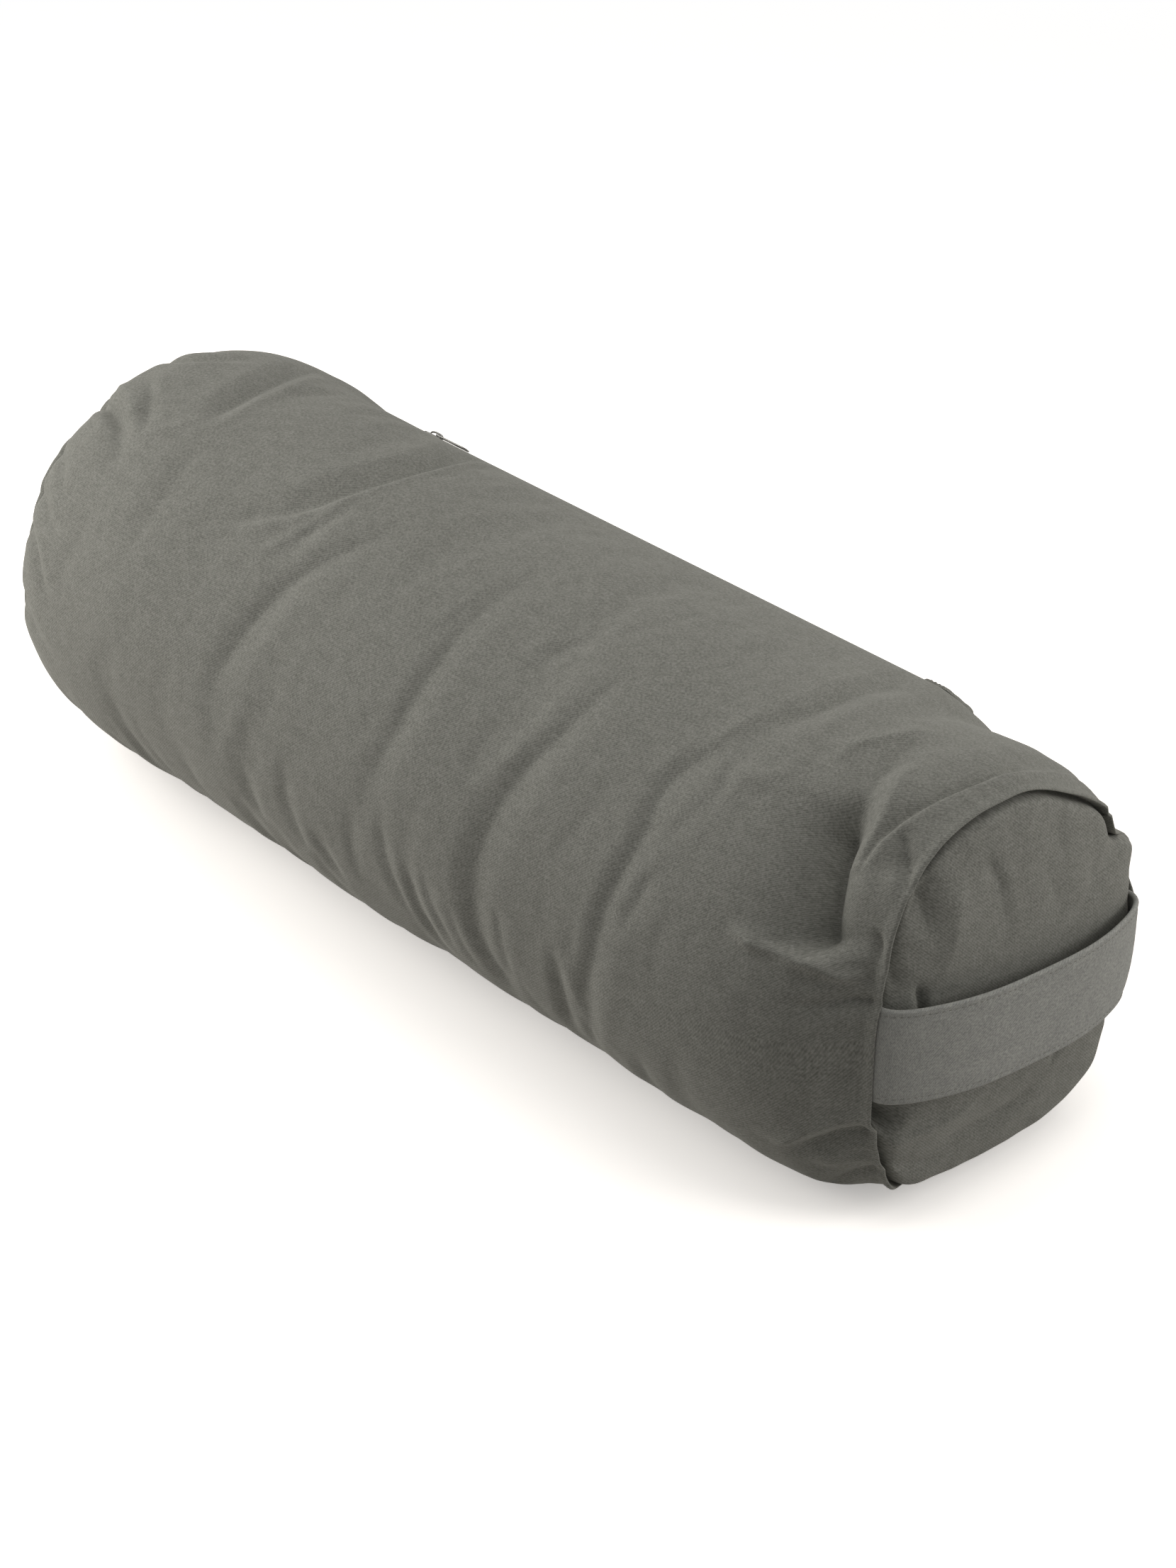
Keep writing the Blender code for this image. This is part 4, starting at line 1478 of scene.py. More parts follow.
HANDLE_PANEL = RoundPanel(
    BolsterEnd.HANDLE,
    "cover_handle_end_panel",
    0.0152,
    0.35,
    (
        # Upright folds above the handle.
        Fold(
            ((-50, 118), (-44, 134), (-39, 146), (-37, 157), (-35, 168), (-28, 184)),
            *(2.5, 6.5, 10.0, Crease.RIDGE),
            fade=(0.5, 0.35),
        ),
        Fold(((-62, 200), (-57, 190), (-53, 178), (-51, 165), (-51, 150)), 4.2, 5.0, 8.0, bank=0.1),
        Fold(((-57, 134), (-55, 124), (-54, 112)), 3.0, 2.4, 2.4, bank=0.05, fade=(0.45, 0)),
        Fold(((-74, 152), (-69, 141), (-64, 129)), 1.8, 3.5, 3.5),
        Fold(((-20, 195), (-11, 174), (-5, 148), (0, 130)), 1.3, 3.5, 11.0),
        Fold(((-17, 184), (-13, 175), (-8, 166), (-6, 158)), 0.6, 2.2, 3.0),
        Fold(((30, 188), (34, 171), (37, 158)), 0.9, 4.0, 7.0),
        Fold(((17, 180), (26, 155), (35, 126)), 0.8, 6.0, 5.0),
        Fold(((60, 176), (58, 150), (56, 130)), 0.8, 6.0, 6.0),
        # Slanting folds below it, drawn towards the corner on the floor.
        Fold(((-90, 80), (-78, 69), (-62, 54)), 15.5, 7.0, 6.5, bank=0.05, fade=(0, 0.3), power=1.3),
        Fold(
            ((-76, 48), (-65, 48), (-50, 49), (-30, 51), (-8, 55)),
            *(2.8, 3.0, 6.0, Crease.RIDGE),
            fade=(0.15, 0.5),
        ),
        Fold(((-56, 38), (-28, 35), (-2, 35), (30, 43)), 3.0, 5.0, 6.0),
        Fold(((-72, 33), (-49, 29), (-26, 23)), 1.9, 4.0, 4.0, fade=(0, 0.5)),
        Fold(((-12, 24), (18, 30), (44, 36)), 1.1, 5.0, 5.0, Crease.RIDGE),
        Fold(((31, 47), (40, 57), (50, 62)), 1.6, 2.6, 2.6),
    ),
    # The seam pulls the panel in behind its lip, and below the handle's sewn end.
    (Swell(150, 5.5, 32), Swell(203, 9.0, 11), Swell(14, 8.0, 8)),
)
PLAIN_PANEL = RoundPanel(
    BolsterEnd.PLAIN,
    "cover_plain_end_panel",
    0.0185,
    0.6,
    (
        Fold(((60, 150), (40, 130), (22, 118)), 1.4, 6.0, 6.0, fade=(0, 0.5)),
        Fold(((-70, 130), (-45, 118), (-20, 104)), 1.3, 6.0, 6.0, fade=(0, 0.5)),
        Fold(((-30, 24), (-14, 48), (-6, 74)), 1.5, 7.0, 7.0, fade=(0, 0.5)),
        Fold(((52, 34), (36, 56), (20, 70)), 1.1, 7.0, 7.0, fade=(0, 0.5)),
        Fold(((10, 178), (6, 156), (4, 136)), 1.1, 6.0, 6.0, fade=(0, 0.5)),
        Fold(((-44, 168), (-34, 150), (-22, 138)), 1.0, 5.0, 5.0, fade=(0, 0.5)),
    ),
)


@dataclass(frozen=True)
class CarryHandle:
    """The flat band of folded twill, sewn into the seam at both sides of the end."""

    width: float = 0.050
    thickness: float = 0.0024
    height: float = 0.095
    slope: float = math.tan(math.radians(-3.0))
    bow: float = 0.0244
    half_span: float = 0.09
    seam_gap: float = 0.0006
    tuck: float = 0.007
    tuck_share: float = 0.05
    furrow: float = 0.42 * MM
    stitch_inset: float = 0.0032
    stitch_length: float = 0.0026
    stitch_pitch: float = 0.0034
    steps: int = 132

    def middle_line(self, across: float, share: Array) -> Array:
        """The band's middle surface along one of its threads.

        Args:
            across: Metres from the band's middle, upwards.
            share: How far along from its -Y end, 0 to 1. Beyond these it turns inwards.

        Returns:
            Points along the band.
        """
        ends = []
        for side in (-1, 1):
            turn = np.linspace(120, 240, 481) if side < 0 else np.linspace(-60, 60, 481)
            seam = SHELL.seam(BolsterEnd.HANDLE, turn, SHELL.lip_depth)
            level = self.height + across + side * self.half_span * self.slope
            spot = seam[np.abs(seam[:, 2] - level).argmin()]
            ends.append(spot[1] - side * (self.seam_gap + self.thickness / 2))
        centre, reach = (ends[0] + ends[1]) / 2, (ends[1] - ends[0]) / 2
        turn = np.pi * np.clip(share, 0, 1)
        y = centre - reach * np.cos(turn)
        beyond = np.abs(share - np.clip(share, 0, 1))
        x = HANDLE_SEAM_X + self.bow * np.sin(turn) - self.tuck * beyond / self.tuck_share
        z = self.height + across + (y - centre) * self.slope
        return np.stack([x, y, z], -1)

    def section(self) -> list[tuple[float, float]]:
        """The band's cross-section: hems thicker than the middle, and a stitched furrow.

        Returns:
            Pairs of metres across and metres out, going round.
        """
        half, thick = self.width / 2, self.thickness / 2
        outer = []
        for share in np.linspace(-1, 1, 33):
            across = share * (half - thick)
            from_edge = half - abs(across)
            furrow = self.furrow * math.exp(-(((from_edge - self.stitch_inset) / 0.0009) ** 2))
            hem = 0.15 * MM * math.exp(-(((from_edge - 0.0016) / 0.0012) ** 2))
            outer.append((across, thick - furrow + hem))
        cap = [(half - thick + thick * math.cos(a), thick * math.sin(a)) for a in (1.1, 0.55, 0, -0.55, -1.1)]
        under = [(across, -out) for across, out in reversed(outer)]
        other = [(-across, out) for across, out in reversed(cap)]
        return [*outer, *cap, *under, *other]

    def outward(self, across: float, share: Array) -> Array:
        """The way out of the band's face, square to one of its threads.

        Args:
            across: Metres from the band's middle, upwards.
            share: How far along the band.

        Returns:
            A unit vector for each place.
        """
        run = self.middle_line(across, share + 0.004) - self.middle_line(across, share - 0.004)
        square = np.cross(run, (0.0, 0.0, 1.0))
        return square / np.linalg.norm(square, axis=-1, keepdims=True)

    @staticmethod
    def ripple(share: Array) -> Array:
        """How far the band waves along X, in metres, at places along it."""
        return 0.35 * MM * np.sin(share * 21 + 0.6) * np.sin(np.pi * np.clip(share, 0, 1))

    def half_band(self, name: str, start: float, stop: float, twill: Material) -> Object:
        """One half of the band, from a sewn end to the middle.

        Args:
            name: The piece's name.
            start: Where it starts, as a share of the band.
            stop: Where it stops.
            twill: The handle's cloth.

        Returns:
            The half, closed along its length.
        """
        share = np.linspace(start, stop, self.steps)
        section = self.section()
        lines = [self.middle_line(at, share) + self.outward(at, share) * out for at, out in section]
        points = np.stack(lines, 1)
        points[..., 0] += self.ripple(share)[:, None]
        girth = run_along(np.array(section))
        cloth = np.stack(np.broadcast_arrays(share[:, None] * 0.2, girth[None]), -1)
        return grid_piece(name, points, cloth, twill, closed=True)

    def stitches(self, name: str, start: float, stop: float, thread: Material) -> Object:
        """The two rows of lockstitch along one half of the band.

        Args:
            name: The mesh's name.
            start: Where they start, as a share of the band.
            stop: Where they stop.
            thread: The thread's material.

        Returns:
            One mesh of short rounded stitches.
        """
        shares = np.linspace(0, 1, 801)
        parts = []
        for side in (-1, 1):
            across = side * (self.width / 2 - self.stitch_inset)
            line = self.middle_line(across, shares)
            run = run_along(line)
            first, last = np.interp([start, stop], shares, run)
            for place in np.arange(first + 0.0012, last - self.stitch_length, self.stitch_pitch):
                spots = np.interp(place + np.linspace(0, self.stitch_length, 5), run, shares)
                lift = self.thickness / 2 - self.furrow + stitch_arch(-0.25, 0.12, 0.22)
                centre = self.middle_line(across, spots) + self.outward(across, spots) * lift[:, None]
                centre[:, 0] += self.ripple(spots)
                parts.append(tube(centre, 0.24 * MM, 5))
        return tubes_piece(name, parts, thread)

    def build(self, twill: Material, thread: Material) -> None:
        """Builds both halves, each bending from the sewn end to the lifted middle.

        Args:
            twill: The handle's cloth.
            thread: Its sewing thread.
        """
        for name, start, stop, edge in (
            ("handle_front_half", -self.tuck_share, 0.5, -0.080),
            ("handle_back_half", 0.5, 1 + self.tuck_share, 0.092),
        ):
            band = self.half_band(name, start, stop, twill)
            rows = self.stitches(f"{name}_stitches", max(start, 0.02), min(stop, 0.98), thread)
            piece = join_meshes(name, [band, rows])
            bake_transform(piece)
            dress(piece, "handle_twill", ["carry_handle"])


def stitch_arch(ends: float, shoulders: float, crown: float) -> Array:
    """How high a stitch lies over the cloth, from where it comes up to where it goes down.

    Args:
        ends: Millimetres at both ends.
        shoulders: Millimetres a quarter of the way in.
        crown: Millimetres in the middle.

    Returns:
        Five heights in metres.
    """
    return np.array([ends, shoulders, crown, shoulders, ends]) * MM


def tube(centre: Array, radius: float, sides: int) -> tuple[Array, Array]:
    """A round tube along a line, closed at both ends.

    Args:
        centre: The line's points.
        radius: Its radius.
        sides: How many sides it has.

    Returns:
        The rings of points, and for each the map place.
    """
    run = np.gradient(centre, axis=0)
    run /= np.linalg.norm(run, axis=1, keepdims=True)
    side = np.cross(run, (0.31, 0.55, 0.77))
    side /= np.linalg.norm(side, axis=1, keepdims=True)
    other = np.cross(run, side)
    a = np.linspace(0, 2 * np.pi, sides, endpoint=False)
    cos, sin = np.cos(a)[None, :, None], np.sin(a)[None, :, None]
    rings = centre[:, None] + radius * (cos * side[:, None] + sin * other[:, None])
    places = np.stack(np.broadcast_arrays(run_along(centre)[:, None], a[None] * radius), -1)
    return rings, places


def tubes_piece(name: str, tubes: Sequence[tuple[Array, Array]], material: Material) -> Object:
    """Many tubes as one mesh, each with its ends closed.

    Args:
        name: The piece's name.
        tubes: Rings and map places of each tube.
        material: Their material.

    Returns:
        The piece.
    """
    verts, faces, places = [], [], []
    for rings, where in tubes:
        first = len(verts)
        count, sides = rings.shape[:2]
        verts += rings.reshape(-1, 3).tolist()
        places += where.reshape(-1, 2).tolist()
        for row in range(count - 1):
            for k in range(sides):
                a, b = first + row * sides + k, first + row * sides + (k + 1) % sides
                faces.append((a, a + sides, b + sides, b))
        faces.append(tuple(first + k for k in range(sides)))
        faces.append(tuple(first + (count - 1) * sides + k for k in reversed(range(sides))))
    return mapped_piece(name, verts, faces, np.array(places), material)


@dataclass(frozen=True)
class ZipChain:
    """The coil zip: two woven tapes, their coils, the stops and the cloth tab at its end."""

    line: ZipLine = ZIP_LINE
    tape_inner: float = 0.0010
    tape_outer: float = 0.0140
    tape_top: float = -0.0013
    tape_under: float = -0.0019
    coil_under: float = -0.0010
    coil_top: float = 0.0012
    coil_pitch: float = 0.0014
    wire: float = 0.00036
    chain_half: float = 0.1927
    tape_half: float = 0.2036
    stitch_length: float = 0.0026
    stitch_pitch: float = 0.0034
    tab_start: float = 0.1959
    tab_half: float = 0.008
    tab_reach: float = 0.0150
    tab_base: float = 0.0003
    tab_thick: float = 0.0019
    tab_furrow: float = 0.00045
    tab_inset: float = 0.0022

    def at(self, x: Array | float, down: Array | float, out: Array | float) -> Array:
        """Points given along the zip, down the slope and out from the strip.

        Args:
            x: Metres along the zip.
            down: Metres down the slope.
            out: Metres out.

        Returns:
            The points in the row's frame.
        """
        origin = np.array(self.line.origin)
        slope = np.array([0, 1, -1]) * math.sqrt(0.5)
        outward = np.array([0, 1, 1]) * math.sqrt(0.5)
        x, down, out = np.broadcast_arrays(x, down, out)
        along = np.array([1.0, 0, 0])
        return origin + x[..., None] * along + down[..., None] * slope + out[..., None] * outward

    def tape(self, side: int, place: str, woven: Material) -> None:
        """One tape, with a cord woven along its inner edge.

        Args:
            side: -1 for the upper tape and 1 for the lower.
            place: upper or lower.
            woven: The tape's material.
        """
        mid = (self.tape_top + self.tape_under) / 2
        thick = (self.tape_top - self.tape_under) / 2
        downs = np.linspace(self.tape_inner + thick, self.tape_outer - thick, 15)
        ribs = 0.06 * MM * np.cos(np.arange(15) * np.pi)
        top = [(d, mid + thick + r) for d, r in zip(downs, ribs)]
        under = [(d, mid - thick) for d in downs[::-1]]
        loop = np.array([*top, (self.tape_outer, mid), *under, (self.tape_inner, mid)])
        x = np.linspace(-self.tape_half, self.tape_half, 60)
        down, out = side * loop[:, 0], loop[:, 1]
        points = self.at(x[:, None], down[None], out[None])
        cloth = np.stack(np.broadcast_arrays(x[:, None], run_along(loop)[None]), -1)
        if side < 0:
            points, cloth = points[:, ::-1], cloth[:, ::-1]
        piece = grid_piece(f"zip_{place}_woven_tape", points, cloth, woven, closed=True)
        dress(piece, "zip_tape", [f"zip_{place}_tape"], "cover")

    def coil(self, side: int, place: str, nylon: Material) -> None:
        """One continuous coil, whose turns meet those of the other between them.

        Args:
            side: -1 for the upper coil and 1 for the lower.
            place: upper or lower.
            nylon: The coil's material.
        """
        turns = 2 * self.chain_half / self.coil_pitch
        angle = np.arange(0, turns * 2 * np.pi, 2 * np.pi / 12)
        x = -self.chain_half + self.coil_pitch * (angle / (2 * np.pi) + (0.25 if side > 0 else -0.25))
        x = np.clip(x, -self.chain_half, self.chain_half)
        high = (self.coil_top - self.coil_under) / 2 - self.wire
        # The turns reach a little past the zip's line, between those of the other coil.
        inner, outer = -0.0003, self.tape_inner + 0.0023 - self.wire
        down = (inner + outer) / 2 + (outer - inner) / 2 * np.cos(angle)
        out = (self.coil_top + self.coil_under) / 2 + high * np.sin(angle)
        wound = tube(self.at(x, side * down, out), self.wire, 6)
        piece = tubes_piece(f"zip_{place}_wound_coil", [wound], nylon)
        dress(piece, "zip_coil", [f"zip_{place}_coil"], "cover")

    def stop(self, name: str, node: str, x: float, low: float, high: float, metal: Material) -> None:
        """One pressed metal stop, its edges rounded over the coil.

        Args:
            name: The piece's name.
            node: The node that it stands for.
            x: Metres along the zip.
            low: Its upper edge, metres down the slope.
            high: Its lower edge.
            metal: Its material.
        """
        shape = bmesh.new()
        bmesh.ops.create_cube(shape, size=1)
        bmesh.ops.scale(shape, vec=(0.0026, high - low, 0.0022), verts=shape.verts)
        bmesh.ops.bevel(shape, geom=shape.edges, offset=0.0006, segments=4, profile=0.6, affect="EDGES")
        middle = (x, (low + high) / 2, 0.0001)
        for vert in shape.verts:
            groove = 0.00018 * math.exp(-((vert.co.x / 0.0003) ** 2))
            vert.co.z -= math.copysign(groove, vert.co.z)
            vert.co = Vector(self.at(*(start + to for start, to in zip(middle, vert.co))))
        bmesh.ops.recalc_face_normals(shape, faces=shape.faces)
        dress(bmesh_piece(name, shape, metal), "zip_metal", [node], "cover")

    def end_tab(self, twill: Material, thread: Material) -> None:
        """The folded patch of twill that is sewn over the zip's lower end.

        Args:
            twill: The patch's cloth.
            thread: Its sewing thread.
        """
        half, reach, base = self.tab_half, self.tab_reach, self.tab_base
        start, end = self.tab_start, self.tab_start + 2 * half
        u = np.linspace(-1, 1, 29)[:, None]
        v = np.linspace(-1, 1, 49)[None]
        corner = np.clip((np.abs(u) ** 10 + np.abs(v) ** 10), 0, 1)
        swell = 0.0017 * np.sqrt(np.maximum(1 - corner, 0)) + 0.0002
        from_edge = np.minimum((1 - np.abs(u)) * half, (1 - np.abs(v)) * reach)
        swell -= self.tab_furrow * np.exp(-(((from_edge - self.tab_inset) / 0.0008) ** 2))
        swell += 0.0001 * np.sin(9 * v + 3 * u)
        x, down = np.broadcast_arrays((start + end) / 2 + u * half, v * reach * 0.998)
        points = self.at(x, down, base + swell)
        wall = self.at(x, down, base)
        points[0], points[-1] = wall[0], wall[-1]
        points[:, 0], points[:, -1] = wall[:, 0], wall[:, -1]
        cloth = np.stack([x, down], -1)
        patch = grid_piece("zip_end_patch", points[:, ::-1], cloth[:, ::-1], twill)
        near, far, side = start + self.tab_inset, end - self.tab_inset, reach - self.tab_inset
        corners = [(near, -side), (far, -side), (far, side), (near, side)]
        lift = base + self.tab_thick - self.tab_furrow + stitch_arch(-0.2, 0.1, 0.2)
        stitches = []
        for (ax, ad), (bx, bd) in zip(corners, [*corners[1:], corners[0]]):
            length = math.hypot(bx - ax, bd - ad)
            for place in np.arange(0.0004, length - 0.0018, 0.0027):
                t = (place + np.linspace(0, 0.002, 5)) / length
                stitches.append(tube(self.at(ax + (bx - ax) * t, ad + (bd - ad) * t, lift), 0.00022, 5))
        piece = join_meshes("zip_end_patch", [patch, tubes_piece("zip_end_patch_stitches", stitches, thread)])
        dress(piece, "cover_twill", ["zip_end_tab"], "cover")

    def top_stitches(self, thread: Material) -> None:
        """The row of stitches that holds each edge of the cover to its tape.

        Args:
            thread: The sewing thread.
        """
        made = []
        lift = stitch_arch(-0.25, 0.1, 0.2)
        for side in (-1, 1):
            down = side * (self.line.opening / 2 + 0.0024)
            for x in np.arange(-0.1945, 0.1935, self.stitch_pitch):
                spots = x + np.linspace(0, self.stitch_length, 5)
                made.append(tube(self.at(spots, down, lift), 0.00024, 5))
        piece = tubes_piece("zip_top_stitches", made, thread)
        dress(piece, "cover_twill", [], "cover")


def bmesh_piece(name: str, shape: BMesh, material: Material) -> Object:
    """Puts a finished bmesh into the scene.

    Args:
        name: The piece's name.
        shape: The bmesh, which is freed.
        material: The piece's material.

    Returns:
        The piece, shaded smooth except at sharp edges.
    """
    mesh = bpy.data.meshes.new(name)
    shape.to_mesh(mesh)
    shape.free()
    mesh.materials.append(material)
    mesh.shade_smooth()
    mesh.set_sharp_from_angle(angle=math.radians(40))
    return placed(name, mesh)


def squared(value: float, power: float) -> float:
    """A cosine or sine, drawn out so that a circle turns into a rounded oblong."""
    return math.copysign(abs(value) ** power, value)


@dataclass(frozen=True)
class ZipSlider:
    """The die-cast slider and its pull, closed towards the plain end."""

    chain: ZipChain = ZipChain()
    shut: float = -0.1864
    length: float = 0.0120
    plate_under: float = -0.0033
    plate_top: float = 0.0026
    pin: float = 0.0035
    bridge_top: float = 0.0052
    plate_thick: float = 0.0011
    shoulder: float = 0.0045
    throat: float = 0.0036
    pull_length: float = 0.0260
    pull_width: float = 0.0064
    pull_thick: float = 0.0008
    pull_edge: float = 0.00018

    def prism(
        self, outline: Sequence[tuple[float, float]], low: float, high: float, round_by: float
    ) -> BMesh:
        """A plate of a given outline, its edges rounded.

        Args:
            outline: Pairs of metres along and down the zip.
            low: Its under face, metres out.
            high: Its upper face.
            round_by: The rounding of its edges.

        Returns:
            The shape in the zip's own directions.
        """
        shape = bmesh.new()
        face = shape.faces.new([shape.verts.new((x, down, low)) for x, down in outline])
        raised = bmesh.ops.extrude_face_region(shape, geom=[face])
        verts = [g for g in raised["geom"] if isinstance(g, BMVert)]
        bmesh.ops.translate(shape, vec=(0, 0, high - low), verts=verts)
        bmesh.ops.recalc_face_normals(shape, faces=shape.faces)
        sharp = [e for e in shape.edges if e.calc_face_angle(0) > 0.9]
        bmesh.ops.bevel(shape, geom=sharp, offset=round_by, segments=3, profile=0.5, affect="EDGES")
        return shape

    def plan(self) -> list[tuple[float, float]]:
        """The slider's plate seen from above: two shoulders that taper to one throat.

        Returns:
            The outline.
        """
        half = self.length / 2
        places = (-1.0, -0.85, -0.5, 0.0, 0.55, 0.9, 1.0)
        widths = (0.62, 0.93, 1.0, 0.9, 0.62, 0.5, 0.36)
        side = []
        for place, width in zip(places, widths):
            share = max((width - widths[-1]) / (1 - widths[-1]), 0)
            side.append((self.shut + place * half, self.throat + (self.shoulder - self.throat) * share))
        return [*side, *[(x, -down) for x, down in reversed(side)]]

    def place(self, shape: BMesh) -> None:
        """Moves a shape from the zip's own directions into the row's frame."""
        for vert in shape.verts:
            vert.co = Vector(self.chain.at(*vert.co))

    def body(self, metal: Material) -> None:
        """The slider: two plates, side walls, the post and the arched bridge.

        Args:
            metal: The slider's material.
        """
        top, under, thick = self.plate_top, self.plate_under, self.plate_thick
        half = self.length / 2
        back, front = self.shut - half, self.shut + half
        wedge = ((0.0004, -0.0006), (0.0045, -0.0003), (0.0045, 0.0003), (0.0004, 0.0006))
        post = [(back + along, down) for along, down in wedge]
        shapes = [
            self.prism(self.plan(), top - thick, top, 0.00035),
            self.prism(self.plan(), under, under + thick, 0.00035),
            self.prism(post, under + 0.0005, top - 0.0005, 0.0001),
        ]
        for side in (-1, 1):
            wall = [
                (back + 0.0012, side * 0.0037),
                (front - 0.001, side * 0.0036),
                (front - 0.001, side * 0.0044),
                (back + 0.0012, side * 0.0045),
            ]
            shapes.append(self.prism(wall, -0.0009, top - 0.0003, 0.00015))
        parts = []
        for number, shape in enumerate(shapes):
            self.place(shape)
            parts.append(bmesh_piece(f"zip_slider_part_{number}", shape, metal))
        # The bridge rises squarely from both ends of the upper plate, its feet sunk into it.
        angle = np.linspace(0, np.pi, 25)
        foot = top - 0.0004
        rise = self.bridge_top - 0.0004 - foot
        x = self.shut - (half - 0.0011) * np.cos(angle)
        line = self.chain.at(x, 0.0, foot + rise * np.sin(angle) ** 0.42)
        parts.append(tubes_piece("zip_slider_bridge", [tube(line, 0.00055, 10)], metal))
        piece = join_meshes("zip_slider_cast", parts)
        dress(piece, "zip_metal", ["zip_slider"], "slider")

    def pull(self, metal: Material) -> None:
        """The pull: a tapered tag with an eye round the bridge and a slot for a finger's grip.

        Args:
            metal: Its material.
        """
        half = self.pull_length / 2
        outer = []
        for step in range(64):
            angle = 2 * math.pi * step / 64
            x = half + half * squared(math.cos(angle), 0.35)
            waist = 0.72 + 0.28 * ((x / self.pull_length - 0.3) / 0.7) ** 2
            outer.append((x, self.pull_width / 2 * waist * squared(math.sin(angle), 0.6)))
        loops = [outer]
        # The eye and the slot: their middles along the pull, and half of their lengths and widths.
        for at, long, wide in ((0.0033, 0.0031, 0.0014), (0.0195, 0.0030, 0.0011)):
            angles = np.linspace(2 * np.pi, 0, 32, endpoint=False)
            loops.append(
                [(at + long * squared(math.cos(a), 0.6), wide * squared(math.sin(a), 0.6)) for a in angles]
            )
        curve = bpy.data.curves.new("zip_pull_plan", "CURVE")
        curve.dimensions = "2D"
        curve.fill_mode = "BOTH"
        curve.extrude = self.pull_thick / 2 - self.pull_edge
        curve.bevel_depth = self.pull_edge
        curve.bevel_resolution = 2
        curve.offset = -self.pull_edge
        for loop in loops:
            spline = curve.splines.new("POLY")
            spline.points.add(len(loop) - 1)
            for spot, (x, y) in zip(spline.points, loop):
                spot.co = (x, y, 0, 1)
            spline.use_cyclic_u = True
        drawn = placed("zip_pull_plan", curve)
        bpy.context.view_layer.update()
        mesh = bpy.data.meshes.new_from_object(drawn.evaluated_get(bpy.context.evaluated_depsgraph_get()))
        bpy.data.objects.remove(drawn)
        shape = bmesh.new()
        shape.from_mesh(mesh)
        bmesh.ops.remove_doubles(shape, verts=shape.verts, dist=2e-6)
        bmesh.ops.translate(shape, vec=(self.shut, 0, self.pin), verts=shape.verts)
        self.place(shape)
        bmesh.ops.recalc_face_normals(shape, faces=shape.faces)
        piece = bmesh_piece("zip_pull_tag", shape, metal)
        dress(piece, "zip_metal", ["zip_pull"], "pull")


@dataclass(frozen=True)
class InnerCushion:
    """The stuffed cotton cushion inside the cover."""

    cover: CoverBody = CoverBody()
    shoulder: float = 0.019
    neck: float = 0.004
    neck_depth: float = 0.0055
    cap_start: float = 0.45

    def form(self, inset: float, back: float, rows: int, columns: int) -> tuple[Array, Array]:
        """A closed form inside the cover, which keeps clear of its folds and its round panels.

        Args:
            inset: How far it lies inside the cover.
            back: How far its ends lie behind the cover's round panels.
            rows: Rows along it.
            columns: Columns round it.

        Returns:
            Its points and the cloth's map.
        """
        shell = self.cover.shell
        along = np.linspace(PLAIN_SEAM_X + self.shoulder, HANDLE_SEAM_X - self.shoulder, rows)
        turn = np.linspace(0, 360, columns, endpoint=False)
        x, t = np.meshgrid(along, turn, indexing="ij")
        folds = np.minimum(self.cover.height(x, np.where(t < ZIP_LINE.turn, t + 360, t)), 0)
        body = shell.outline(x, t) + shell.away(x, t) * (folds - inset)[..., None]
        share = np.cos(np.linspace(self.cap_start, np.pi / 2, 22)) ** 0.7
        ends = []
        for panel in (PLAIN_PANEL, HANDLE_PANEL):
            cap = panel.surface(turn, share)
            cap[..., 0] -= panel.end.value * back
            # A neck keeps the cushion clear of the seam's groove.
            neck = shell.seam(panel.end, turn, inset + self.neck)[None]
            before_seam = panel.end.value * neck[..., 0] - self.neck_depth
            out = np.minimum(before_seam, panel.end.value * cap[:1, :, 0])
            neck[..., 0] = panel.end.value * out
            ends.append(np.concatenate([neck, cap]))
        points = np.concatenate([ends[0][::-1], body, ends[1]])
        points[..., 2] = np.maximum(points[..., 2], FLOOR_GAP + inset)
        run = run_along(points[:, 0])
        cloth = np.stack(np.broadcast_arrays(run[:, None], turn[None] * GIRTH_MM * MM), -1)
        return points, cloth

    def build(self, cotton: Material, fibre: Material) -> None:
        """Builds the casing and the filling.

        Args:
            cotton: The casing's cloth.
            fibre: The filling's material.
        """
        points, cloth = self.form(inset=0.0050, back=0.004, rows=120, columns=120)
        casing = grid_piece("cushion_casing", points, cloth, cotton, closed=True)
        nodes = ["casing_body_panel", "casing_plain_end_panel", "casing_handle_end_panel"]
        dress(casing, "casing_cotton", nodes, "cover")
        points, cloth = self.form(inset=0.0075, back=0.007, rows=90, columns=90)
        filling = grid_piece("cushion_filling", points, cloth, fibre, closed=True)
        dress(filling, "loose_fibre", ["stuffing"], "cover")


